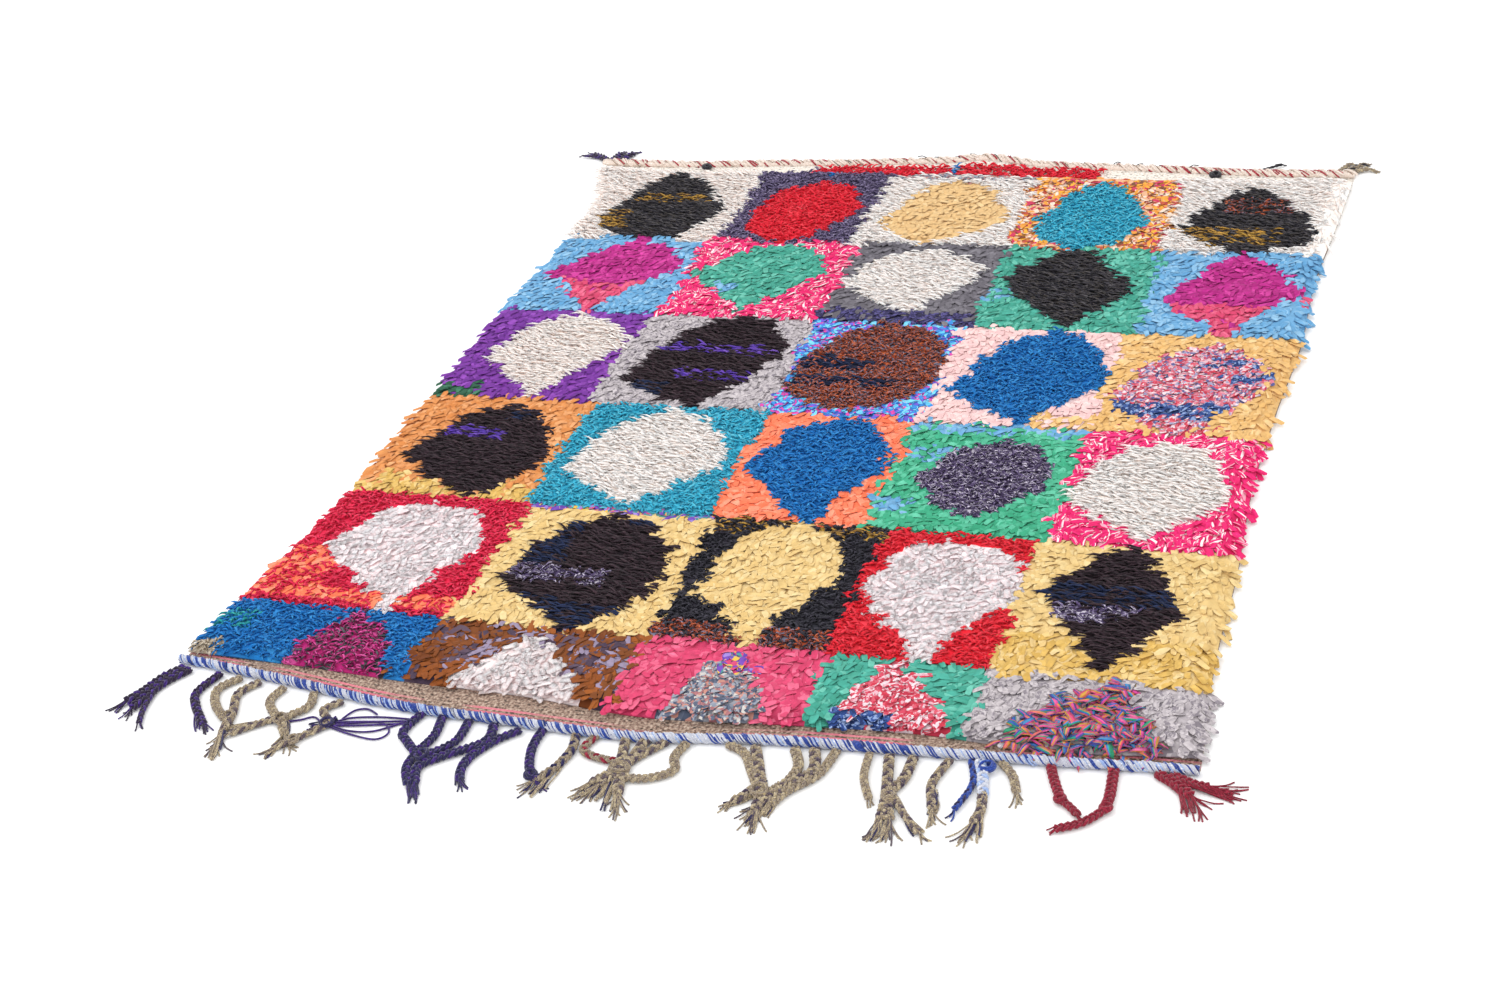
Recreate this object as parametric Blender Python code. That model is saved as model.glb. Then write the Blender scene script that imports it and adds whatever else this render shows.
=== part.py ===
"""A boucherouite rug lying flat: knotted rag pile on one cloth, two end cords, a plaited fringe and tassels.

The rug lies on z = 0 with its fringed near end toward -Y and its far end toward +Y.
Tables give millimetres in that frame; everything built from them is in metres.
"""

from collections import namedtuple
from math import cos, pi, sin

import bmesh
import bpy
from mathutils import Vector, noise

MM = 0.001

# Driving sizes
RUG_WIDTH = 1350
PILE_TOP = 19
PILE_LUMP = 4
ROW_DIP = 5
RIM_HEIGHT = 9
BAND_THICK = 5
LOCK_REACH = 11
GAP = 0.3
CORD_SIDES = 8
NEAR_CORD_RADIUS = 7
NEAR_CORD_PITCH = 38
NEAR_CORD_SEAT = 6.4
FAR_CORD_RADIUS = 5
FAR_CORD_WRAP = 13
FAR_CORD_SEAT = 5.4
STRIP_WIDTH = 5
STRAND_HEIGHT = 8
RIPPLE_HEIGHT = 8
ACROSS_STEPS = 38
ALONG_STEPS = 92

# Where the pattern rows meet, as y, and how far the dip between them spreads
ROW_MEETS = (444, 191, -85, -355, -634)
DIP_SPREAD = 9

# The side edges at equal steps from the near end to the far end, as x
SIDE_FROM, SIDE_TO = -760, 760
LEFT_SIDE = (-677, -655, -633, -630, -628, -631, -619, -618, -677)
RIGHT_SIDE = (670, 656, 654, 645, 649, 659, 655, 666, 674)

# The end edges of the cloth and of its pile at equal steps from left to right, as y
END_FROM, END_TO = -675, 675
NEAR_EDGE = (-753, -772, -796, -803, -806, -786, -777, -769, -758)
NEAR_PILE = (-742, -747, -756, -760, -775, -762, -752, -758, -742)
FAR_PILE = (724, 710, 714, 718, 724, 722, 716, 712, 724)
FAR_EDGE = (752, 746, 756, 764, 778, 766, 758, 748, 750)

Strand = namedtuple("Strand", "root waist tip width")

# Near fringe: where a strand leaves its strip (x), the point it bends at, its tip, its width
NEAR_FRINGE = {
    "fringe-violet": (
        Strand(-664, (-686, -815), (-704, -860), 11),
        Strand(-648, (-667, -822), (-684, -876), 9),
        Strand(-634, (-650, -830), (-660, -898), 6),
        Strand(-602, (-612, -838), (-568, -890), 12),
    ),
    "fringe-tan-left": (
        Strand(-570, (-585, -822), (-560, -862), 12),
        Strand(-540, (-550, -840), (-526, -942), 12),
        Strand(-502, (-486, -846), (-524, -897), 12),
        Strand(-454, (-464, -852), (-458, -926), 12),
        Strand(-408, (-426, -840), (-438, -908), 9),
        Strand(-390, (-402, -840), (-400, -864), 9),
    ),
    "fringe-navy": (
        Strand(-306, (-342, -850), (-376, -876), 5),
        Strand(-288, (-294, -856), (-274, -903), 12),
        Strand(-262, (-256, -862), (-254, -925), 10),
        Strand(-222, (-225, -860), (-236, -930), 12),
        Strand(-187, (-205, -885), (-219, -973), 12),
        Strand(-147, (-182, -874), (-182, -932), 12),
    ),
    "fringe-tan-middle": (
        Strand(-118, (-120, -862), (-106, -915), 12),
        Strand(-75, (-74, -872), (-80, -938), 12),
        Strand(-46, (-40, -860), (-41, -925), 11),
        Strand(-8, (-8, -868), (-10, -931), 11),
        Strand(40, (17, -862), (20, -948), 12),
        Strand(67, (64, -850), (42, -892), 12),
    ),
    "fringe-tan-right": (
        Strand(120, (146, -848), (146, -908), 12),
        Strand(153, (170, -848), (170, -922), 10),
        Strand(200, (196, -858), (190, -938), 12),
        Strand(225, (236, -846), (214, -906), 12),
        Strand(252, (260, -852), (242, -916), 10),
        Strand(292, (297, -838), (310, -878), 12),
        Strand(318, (326, -848), (338, -942), 12),
        Strand(346, (350, -850), (372, -916), 12),
        Strand(386, (382, -838), (386, -888), 12),
    ),
    "fringe-blue-white": (
        Strand(410, (411, -835), (408, -885), 8),
        Strand(425, (436, -845), (446, -925), 12),
        Strand(447, (463, -815), (478, -846), 11),
    ),
    "fringe-crimson": (
        Strand(504, (522, -822), (544, -852), 12),
        Strand(577, (588, -842), (534, -890), 12),
        Strand(622, (640, -810), (667, -850), 9),
        Strand(638, (668, -802), (698, -832), 9),
        Strand(653, (690, -787), (722, -800), 9),
    ),
}

# Far corner tassels and the loose thread, listed from right to left because they leave the far edge
FAR_FRINGE = {
    "tassel-tan": (
        Strand(664, (690, 778), (706, 776), 7),
        Strand(652, (678, 792), (695, 798), 7),
        Strand(640, (655, 790), (668, 806), 7),
    ),
    "far-thread": (
        Strand(516, (535, 776), (554, 790), 3),
    ),
    "tassel-purple": (
        Strand(-626, (-618, 786), (-606, 802), 7),
        Strand(-638, (-636, 790), (-630, 808), 8),
        Strand(-650, (-656, 790), (-658, 812), 8),
        Strand(-662, (-680, 785), (-694, 804), 8),
        Strand(-672, (-702, 770), (-730, 788), 6),
    ),
}

# Dark yarn knots on the far band, as their middles
KNOTS = {"knot-left": (-462, 730), "knot-right": (450, 731)}
KNOT_SIZE = (15, 7, 6)

# Colour, roughness
PILE_RED = ((0.50, 0.13, 0.12), 0.95)
CORD_BLUE = ((0.30, 0.42, 0.62), 0.85)
CORD_CREAM = ((0.80, 0.74, 0.62), 0.85)
VIOLET = ((0.14, 0.09, 0.22), 0.85)
TAN = ((0.52, 0.40, 0.28), 0.85)
NAVY = ((0.10, 0.11, 0.24), 0.85)
PALE_BLUE = ((0.45, 0.60, 0.78), 0.85)
CRIMSON = ((0.55, 0.05, 0.09), 0.85)
CHARCOAL = ((0.06, 0.06, 0.08), 0.9)
NODE_COLOURS = {
    "fringe-violet": VIOLET,
    "fringe-tan-left": TAN,
    "fringe-navy": NAVY,
    "fringe-tan-middle": TAN,
    "fringe-tan-right": TAN,
    "fringe-blue-white": PALE_BLUE,
    "fringe-crimson": CRIMSON,
    "tassel-tan": TAN,
    "far-thread": CHARCOAL,
    "tassel-purple": VIOLET,
    "knot-left": CHARCOAL,
    "knot-right": CHARCOAL,
}


def clear_scene():
    for thing in list(bpy.data.objects):
        bpy.data.objects.remove(thing, do_unlink=True)


def smooth_between(values, share):
    """The value at share (0 to 1) along equally spaced values, on a curve through each of them."""
    place = min(max(share, 0.0), 1.0) * (len(values) - 1)
    step = min(int(place), len(values) - 2)
    t = place - step
    a, b = values[step], values[step + 1]
    before = values[max(step - 1, 0)]
    after = values[min(step + 2, len(values) - 1)]
    bend = 2 * before - 5 * a + 4 * b - after
    swing = 3 * (a - b) + after - before
    return a + 0.5 * t * (b - before + t * (bend + t * swing))


def side(values, y):
    return smooth_between(values, (y - SIDE_FROM) / (SIDE_TO - SIDE_FROM))


def end(values, x):
    return smooth_between(values, (x - END_FROM) / (END_TO - END_FROM))


def ripple(x, y):
    """How high the far edge stands off the floor near the middle."""
    across = max(0.0, 1 - abs(x - 55) / 95)
    along = min(max((y - 690) / 80, 0.0), 1.0)
    return RIPPLE_HEIGHT * (across * along) ** 2 * (3 - 2 * across * along)


def pile_height(x, y):
    """The lumpy top of the pile, lower where two pattern rows meet."""
    coarse = noise.noise(Vector((x / 60, y / 38, 1.7)))
    fine = noise.noise(Vector((x / 24, y / 17, 8.3)))
    dips = sum(max(0.0, 1 - abs(y - meet) / DIP_SPREAD) for meet in ROW_MEETS)
    return PILE_TOP + PILE_LUMP * (coarse + 0.8 * fine) - ROW_DIP * dips


def lock_reach(row):
    """How far a lock at the rim stands out, long and short by turns."""
    wander = 0.5 + 0.5 * noise.noise(Vector((row * 0.61, 4.4, 2.9)))
    return LOCK_REACH * wander * (1.0 if row % 2 else 0.25)


def new_object(name, bm, look):
    bmesh.ops.recalc_face_normals(bm, faces=bm.faces)
    mesh = bpy.data.meshes.new(name)
    bm.to_mesh(mesh)
    bm.free()
    thing = bpy.data.objects.new(name, mesh)
    mesh.materials.append(material_of(name, look))
    COLLECTION.objects.link(thing)
    return thing


def material_of(name, look):
    colour, roughness = look
    material = bpy.data.materials.new(name)
    material.use_nodes = True
    shader = material.node_tree.nodes["Principled BSDF"]
    shader.inputs["Base Color"].default_value = (*colour, 1.0)
    shader.inputs["Roughness"].default_value = roughness
    shader.inputs["Metallic"].default_value = 0.0
    material.diffuse_color = (*colour, 1.0)
    return material


def row_positions(x):
    """The y of every grid line at one x: band, step up to the pile, pile, step down, band."""
    near, far = end(NEAR_PILE, x), end(FAR_PILE, x)
    pile_rows = ALONG_STEPS - 4
    start, stop = near + 4, far - 4
    inner = [start + (stop - start) * i / pile_rows for i in range(pile_rows + 1)]
    return [end(NEAR_EDGE, x), near - 3, *inner, far + 3, end(FAR_EDGE, x)]


def column_positions():
    """The shares across the cloth of every grid line, closer together at the rims."""
    rim = (0.0, 0.009)
    first, last = 0.026, 0.974
    inner_steps = ACROSS_STEPS - 4
    inner = [first + (last - first) * i / inner_steps for i in range(inner_steps + 1)]
    return [*rim, *inner, 1 - rim[1], 1 - rim[0]]


def build_cloth():
    """One slab: a lumpy pile top, thin flat-woven bands at both ends, locks at the side rims."""
    bm = bmesh.new()
    shares = column_positions()
    columns = []
    for column, share in enumerate(shares):
        guide = END_FROM + (END_TO - END_FROM) * share
        columns.append([])
        for row, y in enumerate(row_positions(guide)):
            x = side(LEFT_SIDE, y) * (1 - share) + side(RIGHT_SIDE, y) * share
            in_pile = 2 <= row <= ALONG_STEPS - 2
            rim_step = min(column, len(shares) - 1 - column)
            outward = -1 if column == 0 else 1
            height = pile_height(x, y) if in_pile else BAND_THICK
            if rim_step == 0 and in_pile:
                x += outward * lock_reach(row + 7 * column)
                height = RIM_HEIGHT * 0.5
            elif rim_step == 1 and in_pile:
                height = RIM_HEIGHT + 0.3 * (height - RIM_HEIGHT)
            height += ripple(x, y)
            columns[column].append(bm.verts.new((x * MM, y * MM, height * MM)))
    for left, right in zip(columns, columns[1:]):
        for row in range(len(left) - 1):
            bm.faces.new((left[row], right[row], right[row + 1], left[row + 1]))
    rim_edges = [edge for edge in bm.edges if edge.is_boundary]
    dropped = bmesh.ops.extrude_edge_only(bm, edges=rim_edges)["geom"]
    for vert in (item for item in dropped if isinstance(item, bmesh.types.BMVert)):
        vert.co.z = 0.0
    foot = [edge for edge in bm.edges if edge.is_boundary]
    bmesh.ops.contextual_create(bm, geom=foot)
    return new_object("rug-cloth", bm, PILE_RED)


def sweep(bm, rings):
    """Joins rings of points into one closed tube."""
    loops = [[bm.verts.new(point) for point in ring] for ring in rings]
    for one, two in zip(loops, loops[1:]):
        for i in range(len(one)):
            j = (i + 1) % len(one)
            bm.faces.new((one[i], one[j], two[j], two[i]))
    bm.faces.new(loops[0][::-1])
    bm.faces.new(loops[-1])


def edge_corners(values):
    """Where an end edge of the cloth starts and stops, as x."""
    return side(LEFT_SIDE, end(values, END_FROM)), side(RIGHT_SIDE, end(values, END_TO))


def edge_at(values, x):
    """The y of an end edge of the cloth at one x."""
    left, right = edge_corners(values)
    return smooth_between(values, (x - left) / (right - left))


def edge_path(values, seat, outward, step):
    """Middles of a cord seated against an end edge of the cloth, one every step from left to right."""
    left, right = edge_corners(values)
    steps = round((right - left) / step)
    xs = [left + (right - left) * i / steps for i in range(steps + 1)]
    return [(x, edge_at(values, x) + outward * seat) for x in xs]


def build_near_cord():
    """A two-ply twisted cord: a section with two lobes that turns once in two pitches."""
    bm = bmesh.new()
    rings = []
    for i, (x, y) in enumerate(edge_path(NEAR_EDGE, NEAR_CORD_SEAT, -1, NEAR_CORD_PITCH / 6)):
        turn = -2 * pi * i / 12
        ring = []
        for k in range(CORD_SIDES):
            angle = 2 * pi * k / CORD_SIDES
            radius = NEAR_CORD_RADIUS * (0.86 + 0.14 * cos(2 * (angle - turn)))
            up = NEAR_CORD_RADIUS + radius * sin(angle)
            ring.append((x * MM, (y + radius * cos(angle)) * MM, up * MM))
        rings.append(ring)
    sweep(bm, rings)
    return new_object("near-cord", bm, CORD_BLUE)


def build_far_cord():
    """An overcast cord: a round cord pinched between its wraps, lifted where the edge ripples."""
    bm = bmesh.new()
    rings = []
    for i, (x, y) in enumerate(edge_path(FAR_EDGE, FAR_CORD_SEAT, 1, FAR_CORD_WRAP)):
        radius = FAR_CORD_RADIUS * (1.0 if i % 2 else 0.84)
        lift = FAR_CORD_RADIUS + ripple(x, y)
        ring = []
        for k in range(CORD_SIDES):
            angle = 2 * pi * k / CORD_SIDES
            ring.append((x * MM, (y + radius * cos(angle)) * MM, (lift + radius * sin(angle)) * MM))
        rings.append(ring)
    sweep(bm, rings)
    return new_object("far-cord", bm, CORD_CREAM)


def strand_centres(start, strand, pieces):
    """Plan points from the strip through the bend to the tip."""
    stations = (start, Vector(strand.waist), Vector(strand.tip))
    xs = [station[0] for station in stations]
    ys = [station[1] for station in stations]
    shares = [i / pieces for i in range(1, pieces + 1)]
    return [Vector((smooth_between(xs, s), smooth_between(ys, s))) for s in shares]


def strand_rings(start, strand):
    """Flat-bottomed sections along a strand, swelling and narrowing as a plait does."""
    length = (Vector(strand.waist) - start).length + (Vector(strand.tip) - Vector(strand.waist)).length
    pieces = max(4, round(length / 12))
    centres = strand_centres(start, strand, pieces)
    before = start
    rings = []
    for i, centre in enumerate(centres):
        after = centres[i + 1] if i + 1 < len(centres) else centre
        run = (after - before).normalized()
        across = Vector((-run.y, run.x))
        swell = (1.0 if i % 2 else 0.8) if i + 1 < len(centres) else 0.45
        half = 0.5 * strand.width * swell
        top = min(STRAND_HEIGHT, strand.width) * (0.6 + 0.4 * swell)
        left, right = centre - across * half, centre + across * half
        crown_left, crown_right = centre - across * half * 0.5, centre + across * half * 0.5
        rings.append(
            (
                (left.x * MM, left.y * MM, 0.0),
                (right.x * MM, right.y * MM, 0.0),
                (crown_right.x * MM, crown_right.y * MM, top * MM),
                (crown_left.x * MM, crown_left.y * MM, top * MM),
            )
        )
        before = centre
    return rings


def strip_ring(x, values, outward, seat, cord_radius):
    """Back and front corners of a root strip at one x, as bottom back, bottom front, top front, top back."""
    back = edge_at(values, x) + outward * (seat + cord_radius + GAP)
    front = back + outward * STRIP_WIDTH
    top = cord_radius + 1
    return tuple((x * MM, y * MM, z * MM) for y, z in ((back, 0), (front, 0), (front, top), (back, top)))


def build_comb(name, strands, values, outward, seat, cord_radius):
    """A narrow root strip beside an end cord with strands leaving its front, as one closed body."""
    bm = bmesh.new()
    right_way = -outward
    first, last = strands[0], strands[-1]
    stations = [first.root - right_way * (0.5 * first.width + 3)]
    for strand in strands:
        stations += [strand.root - right_way * 0.5 * strand.width, strand.root + right_way * 0.5 * strand.width]
    stations.append(last.root + right_way * (0.5 * last.width + 3))
    loops = [[bm.verts.new(p) for p in strip_ring(x, values, outward, seat, cord_radius)] for x in stations]
    for i, (one, two) in enumerate(zip(loops, loops[1:])):
        opening = i % 2 == 1
        for k in range(4):
            if opening and k == 1:
                continue
            j = (k + 1) % 4
            bm.faces.new((one[k], one[j], two[j], two[k]))
    bm.faces.new(loops[0][::-1])
    bm.faces.new(loops[-1])
    for i, strand in enumerate(strands):
        one, two = loops[2 * i + 1], loops[2 * i + 2]
        start = Vector((strand.root, one[1].co.y / MM))
        previous = [one[1], two[1], two[2], one[2]]
        for ring in strand_rings(start, strand):
            current = [bm.verts.new(point) for point in ring]
            for k in range(4):
                j = (k + 1) % 4
                bm.faces.new((previous[k], previous[j], current[j], current[k]))
            previous = current
        bm.faces.new(previous)
    return new_object(name, bm, NODE_COLOURS[name])


def build_knot(name, middle):
    """A small knot of yarn lying a hair above the far band."""
    bm = bmesh.new()
    bmesh.ops.create_icosphere(bm, subdivisions=2, radius=1.0)
    for vert in bm.verts:
        lump = 1 + 0.18 * noise.noise(vert.co * 2.1 + Vector((middle[0], 0, 0)))
        vert.co = Vector((vert.co.x * KNOT_SIZE[0], vert.co.y * KNOT_SIZE[1], vert.co.z * KNOT_SIZE[2])) * lump * MM
    lowest = min(vert.co.z for vert in bm.verts)
    lift = (BAND_THICK + GAP) * MM - lowest
    bmesh.ops.translate(bm, verts=bm.verts, vec=Vector((middle[0] * MM, middle[1] * MM, lift)))
    return new_object(name, bm, NODE_COLOURS[name])


clear_scene()
COLLECTION = bpy.data.collections.new("boucherouite-rug")
bpy.context.scene.collection.children.link(COLLECTION)
build_cloth()
build_near_cord()
build_far_cord()
for fringe_name, fringe_strands in NEAR_FRINGE.items():
    build_comb(fringe_name, fringe_strands, NEAR_EDGE, -1, NEAR_CORD_SEAT, NEAR_CORD_RADIUS)
for fringe_name, fringe_strands in FAR_FRINGE.items():
    build_comb(fringe_name, fringe_strands, FAR_EDGE, 1, FAR_CORD_SEAT, FAR_CORD_RADIUS)
for knot_name, knot_middle in KNOTS.items():
    build_knot(knot_name, knot_middle)
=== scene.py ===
from collections import namedtuple
from math import cos, hypot, pi, radians, sin

import bmesh
import bpy
import numpy as np
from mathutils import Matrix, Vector, noise


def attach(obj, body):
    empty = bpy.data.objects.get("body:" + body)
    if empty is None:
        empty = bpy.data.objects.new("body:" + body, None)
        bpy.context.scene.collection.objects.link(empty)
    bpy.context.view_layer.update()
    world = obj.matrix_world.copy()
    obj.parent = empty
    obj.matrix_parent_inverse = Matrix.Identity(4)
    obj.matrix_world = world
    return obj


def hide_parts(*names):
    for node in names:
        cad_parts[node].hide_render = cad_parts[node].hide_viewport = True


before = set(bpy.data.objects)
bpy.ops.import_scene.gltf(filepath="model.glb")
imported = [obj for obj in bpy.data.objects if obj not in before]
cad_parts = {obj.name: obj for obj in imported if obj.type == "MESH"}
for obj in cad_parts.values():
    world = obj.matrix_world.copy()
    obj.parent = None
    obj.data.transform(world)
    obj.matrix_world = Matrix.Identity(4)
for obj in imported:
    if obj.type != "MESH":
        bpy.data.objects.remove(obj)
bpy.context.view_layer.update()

# The camera: a person standing past the rug's right near corner, looking down along it.
# The place, turn and lens come from the four corners of the rug in the photograph.
camera_data = bpy.data.cameras.new("camera")
camera_data.sensor_width = 36.0
camera_data.lens = 53.41
camera = bpy.data.objects.new("camera", camera_data)
camera.location = (1.0347, -2.6731, 1.6742)
camera.rotation_euler = (radians(56.945), radians(7.996), radians(18.921))
bpy.context.scene.collection.objects.link(camera)
bpy.context.scene.camera = camera
bpy.context.scene.view_settings.view_transform = "Standard"

# The studio: a plain pale floor, one large soft light above the left shoulder, a soft fill from
# the right, and an even pale sky.
floor_mesh = bpy.data.meshes.new("floor")
floor_reach = 9.0
floor_corners = [(-floor_reach, -floor_reach, 0), (floor_reach, -floor_reach, 0)]
floor_corners += [(floor_reach, floor_reach, 0), (-floor_reach, floor_reach, 0)]
floor_mesh.from_pydata(floor_corners, [], [(0, 1, 2, 3)])
floor = bpy.data.objects.new("floor", floor_mesh)
bpy.context.scene.collection.objects.link(floor)
floor_paint = bpy.data.materials.new("pale floor")
floor_paint.use_nodes = True
floor_paint.node_tree.nodes["Principled BSDF"].inputs["Base Color"].default_value = (0.93, 0.93, 0.93, 1)
floor_paint.node_tree.nodes["Principled BSDF"].inputs["Roughness"].default_value = 0.9
floor_mesh.materials.append(floor_paint)

sky = bpy.data.worlds.new("pale sky")
sky.use_nodes = True
sky.node_tree.nodes["Background"].inputs["Color"].default_value = (1.0, 1.0, 1.0, 1)
sky.node_tree.nodes["Background"].inputs["Strength"].default_value = 1.19
bpy.context.scene.world = sky

Lamp = namedtuple("Lamp", "name place aim size power")
for lamp in (
    Lamp("key light", (-1.7, -0.3, 3.2), (0, 0, 0), 2.8, 36),
    Lamp("fill light", (1.8, -2.6, 3.0), (0, -0.2, 0), 2.6, 23),
):
    light_data = bpy.data.lights.new(lamp.name, "AREA")
    light_data.size = lamp.size
    light_data.energy = lamp.power
    light = bpy.data.objects.new(lamp.name, light_data)
    light.location = lamp.place
    light.rotation_euler = (Vector(lamp.aim) - Vector(lamp.place)).to_track_quat("-Z", "Y").to_euler()
    bpy.context.scene.collection.objects.link(light)


# The cloth: a hand-woven ground of wool and cotton that carries the pile. A band of plain
# taupe weft is left bare at each end, with thin pink weft stripes by the near end.
SIDE_FROM, SIDE_TO = -0.760, 0.760
LEFT_SIDE = (-0.677, -0.655, -0.633, -0.630, -0.628, -0.631, -0.619, -0.618, -0.677)
RIGHT_SIDE = (0.670, 0.656, 0.654, 0.645, 0.649, 0.659, 0.655, 0.666, 0.674)
END_FROM, END_TO = -0.675, 0.675
NEAR_EDGE = (-0.753, -0.772, -0.796, -0.803, -0.806, -0.786, -0.777, -0.769, -0.758)
NEAR_PILE = (-0.742, -0.747, -0.756, -0.760, -0.775, -0.762, -0.752, -0.758, -0.742)
FAR_PILE = (0.724, 0.710, 0.714, 0.718, 0.724, 0.722, 0.716, 0.712, 0.724)
FAR_EDGE = (0.752, 0.746, 0.756, 0.764, 0.778, 0.766, 0.758, 0.748, 0.750)
BAND_THICK = 0.005
CLOTH_LIFT = 0.0002
WEFT_DENT = 0.0004
RIM_SHARE = 0.25
RIPPLE_HEIGHT = 0.008
RIPPLE_MIDDLE, RIPPLE_REACH = 0.055, 0.095
RIPPLE_FROM, RIPPLE_RUN = 0.690, 0.080
WEFT_STRIPES = ((0.003, 1.0), (0.0075, 0.0), (0.010, 0.8), (0.0120, 0.0), (0.017, 0.6), (0.0185, 0.0))
STRIPE_PINK = "e0788a"
CREAM_END_FROM = 0.5


def smooth_between(values, share):
    """The value at share (0 to 1) along equally spaced values, on a curve through each of them."""
    place = min(max(share, 0.0), 1.0) * (len(values) - 1)
    step = min(int(place), len(values) - 2)
    t = place - step
    a, b = values[step], values[step + 1]
    before = values[max(step - 1, 0)]
    after = values[min(step + 2, len(values) - 1)]
    bend = 2 * before - 5 * a + 4 * b - after
    swing = 3 * (a - b) + after - before
    return a + 0.5 * t * (b - before + t * (bend + t * swing))


def side(values, y):
    """A side edge's x at one y."""
    return smooth_between(values, (y - SIDE_FROM) / (SIDE_TO - SIDE_FROM))


def end(values, x):
    """An end edge's y at one guide x, as if the sides were straight."""
    return smooth_between(values, (x - END_FROM) / (END_TO - END_FROM))


def ripple(x, y):
    """How high the far edge stands off the floor near the middle."""
    across = max(0.0, 1 - abs(x - RIPPLE_MIDDLE) / RIPPLE_REACH)
    along = min(max((y - RIPPLE_FROM) / RIPPLE_RUN, 0.0), 1.0)
    return RIPPLE_HEIGHT * (across * along) ** 2 * (3 - 2 * across * along)


def linear(code):
    """A dye's colour from its six-digit code, as the shader wants it."""
    parts = [int(code[i : i + 2], 16) / 255 for i in (0, 2, 4)]
    return tuple(c / 12.92 if c <= 0.04045 else ((c + 0.055) / 1.055) ** 2.4 for c in parts)


def link_piece(name, mesh):
    piece = bpy.data.objects.new(name, mesh)
    bpy.context.scene.collection.objects.link(piece)
    return piece


def new_material(name, roughness, sheen):
    """A plain fabric material, with its node tree and its shader."""
    material = bpy.data.materials.new(name)
    material.use_nodes = True
    tree = material.node_tree
    shader = tree.nodes["Principled BSDF"]
    shader.inputs["Roughness"].default_value = roughness
    shader.inputs["Sheen Weight"].default_value = sheen
    shader.inputs["Sheen Roughness"].default_value = 0.5
    shader.inputs["Specular IOR Level"].default_value = 0.2
    return material, tree, shader


def add_node(tree, kind, inputs=(), links=(), **settings):
    """A node with its settings, its own values by input name, and links from other nodes' outputs."""
    node = tree.nodes.new(kind)
    for key, value in settings.items():
        setattr(node, key, value)
    for key, value in dict(inputs).items():
        node.inputs[key].default_value = value
    for key, source in dict(links).items():
        tree.links.new(source, node.inputs[key])
    return node


def add_noise(tree, place, scale, detail):
    """Noise over a place."""
    values = {"Scale": scale, "Detail": detail}
    return add_node(tree, "ShaderNodeTexNoise", inputs=values, links={0: place}).outputs["Fac"]


def add_wave(tree, place, direction, scale, distortion):
    """Soft lines over a place, side by side in one direction."""
    values = {"Scale": scale, "Distortion": distortion}
    wave = add_node(tree, "ShaderNodeTexWave", bands_direction=direction, inputs=values, links={0: place})
    return wave.outputs["Fac"]


def add_range(tree, value, low, high, out_low=0.0, out_high=1.0):
    """Spreads a value that lies between low and high from out_low to out_high."""
    values = {"From Min": low, "From Max": high, "To Min": out_low, "To Max": out_high}
    return add_node(tree, "ShaderNodeMapRange", inputs=values, links={0: value}).outputs[0]


def add_maths(tree, operation, a, b):
    """Two values put together; the second may be a plain number."""
    node = add_node(tree, "ShaderNodeMath", operation=operation, links={0: a})
    if isinstance(b, float):
        node.inputs[1].default_value = b
    else:
        tree.links.new(b, node.inputs[1])
    return node.outputs[0]


def add_bump(tree, height, strength, distance, links=()):
    """Relief from a height."""
    values = {"Strength": strength, "Distance": distance}
    return add_node(tree, "ShaderNodeBump", inputs=values, links={"Height": height, **dict(links)}).outputs[0]


def ramp_colours(node, colours, smooth):
    """Spreads colours evenly along a colour ramp."""
    ramp = node.color_ramp
    ramp.interpolation = "LINEAR" if smooth else "CONSTANT"
    while len(ramp.elements) < len(colours):
        ramp.elements.new(0.5)
    steps = len(colours) - 1 if smooth else len(colours)
    for i, colour in enumerate(colours):
        ramp.elements[i].position = i / max(steps, 1)
        ramp.elements[i].color = (*linear(colour), 1)


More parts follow.
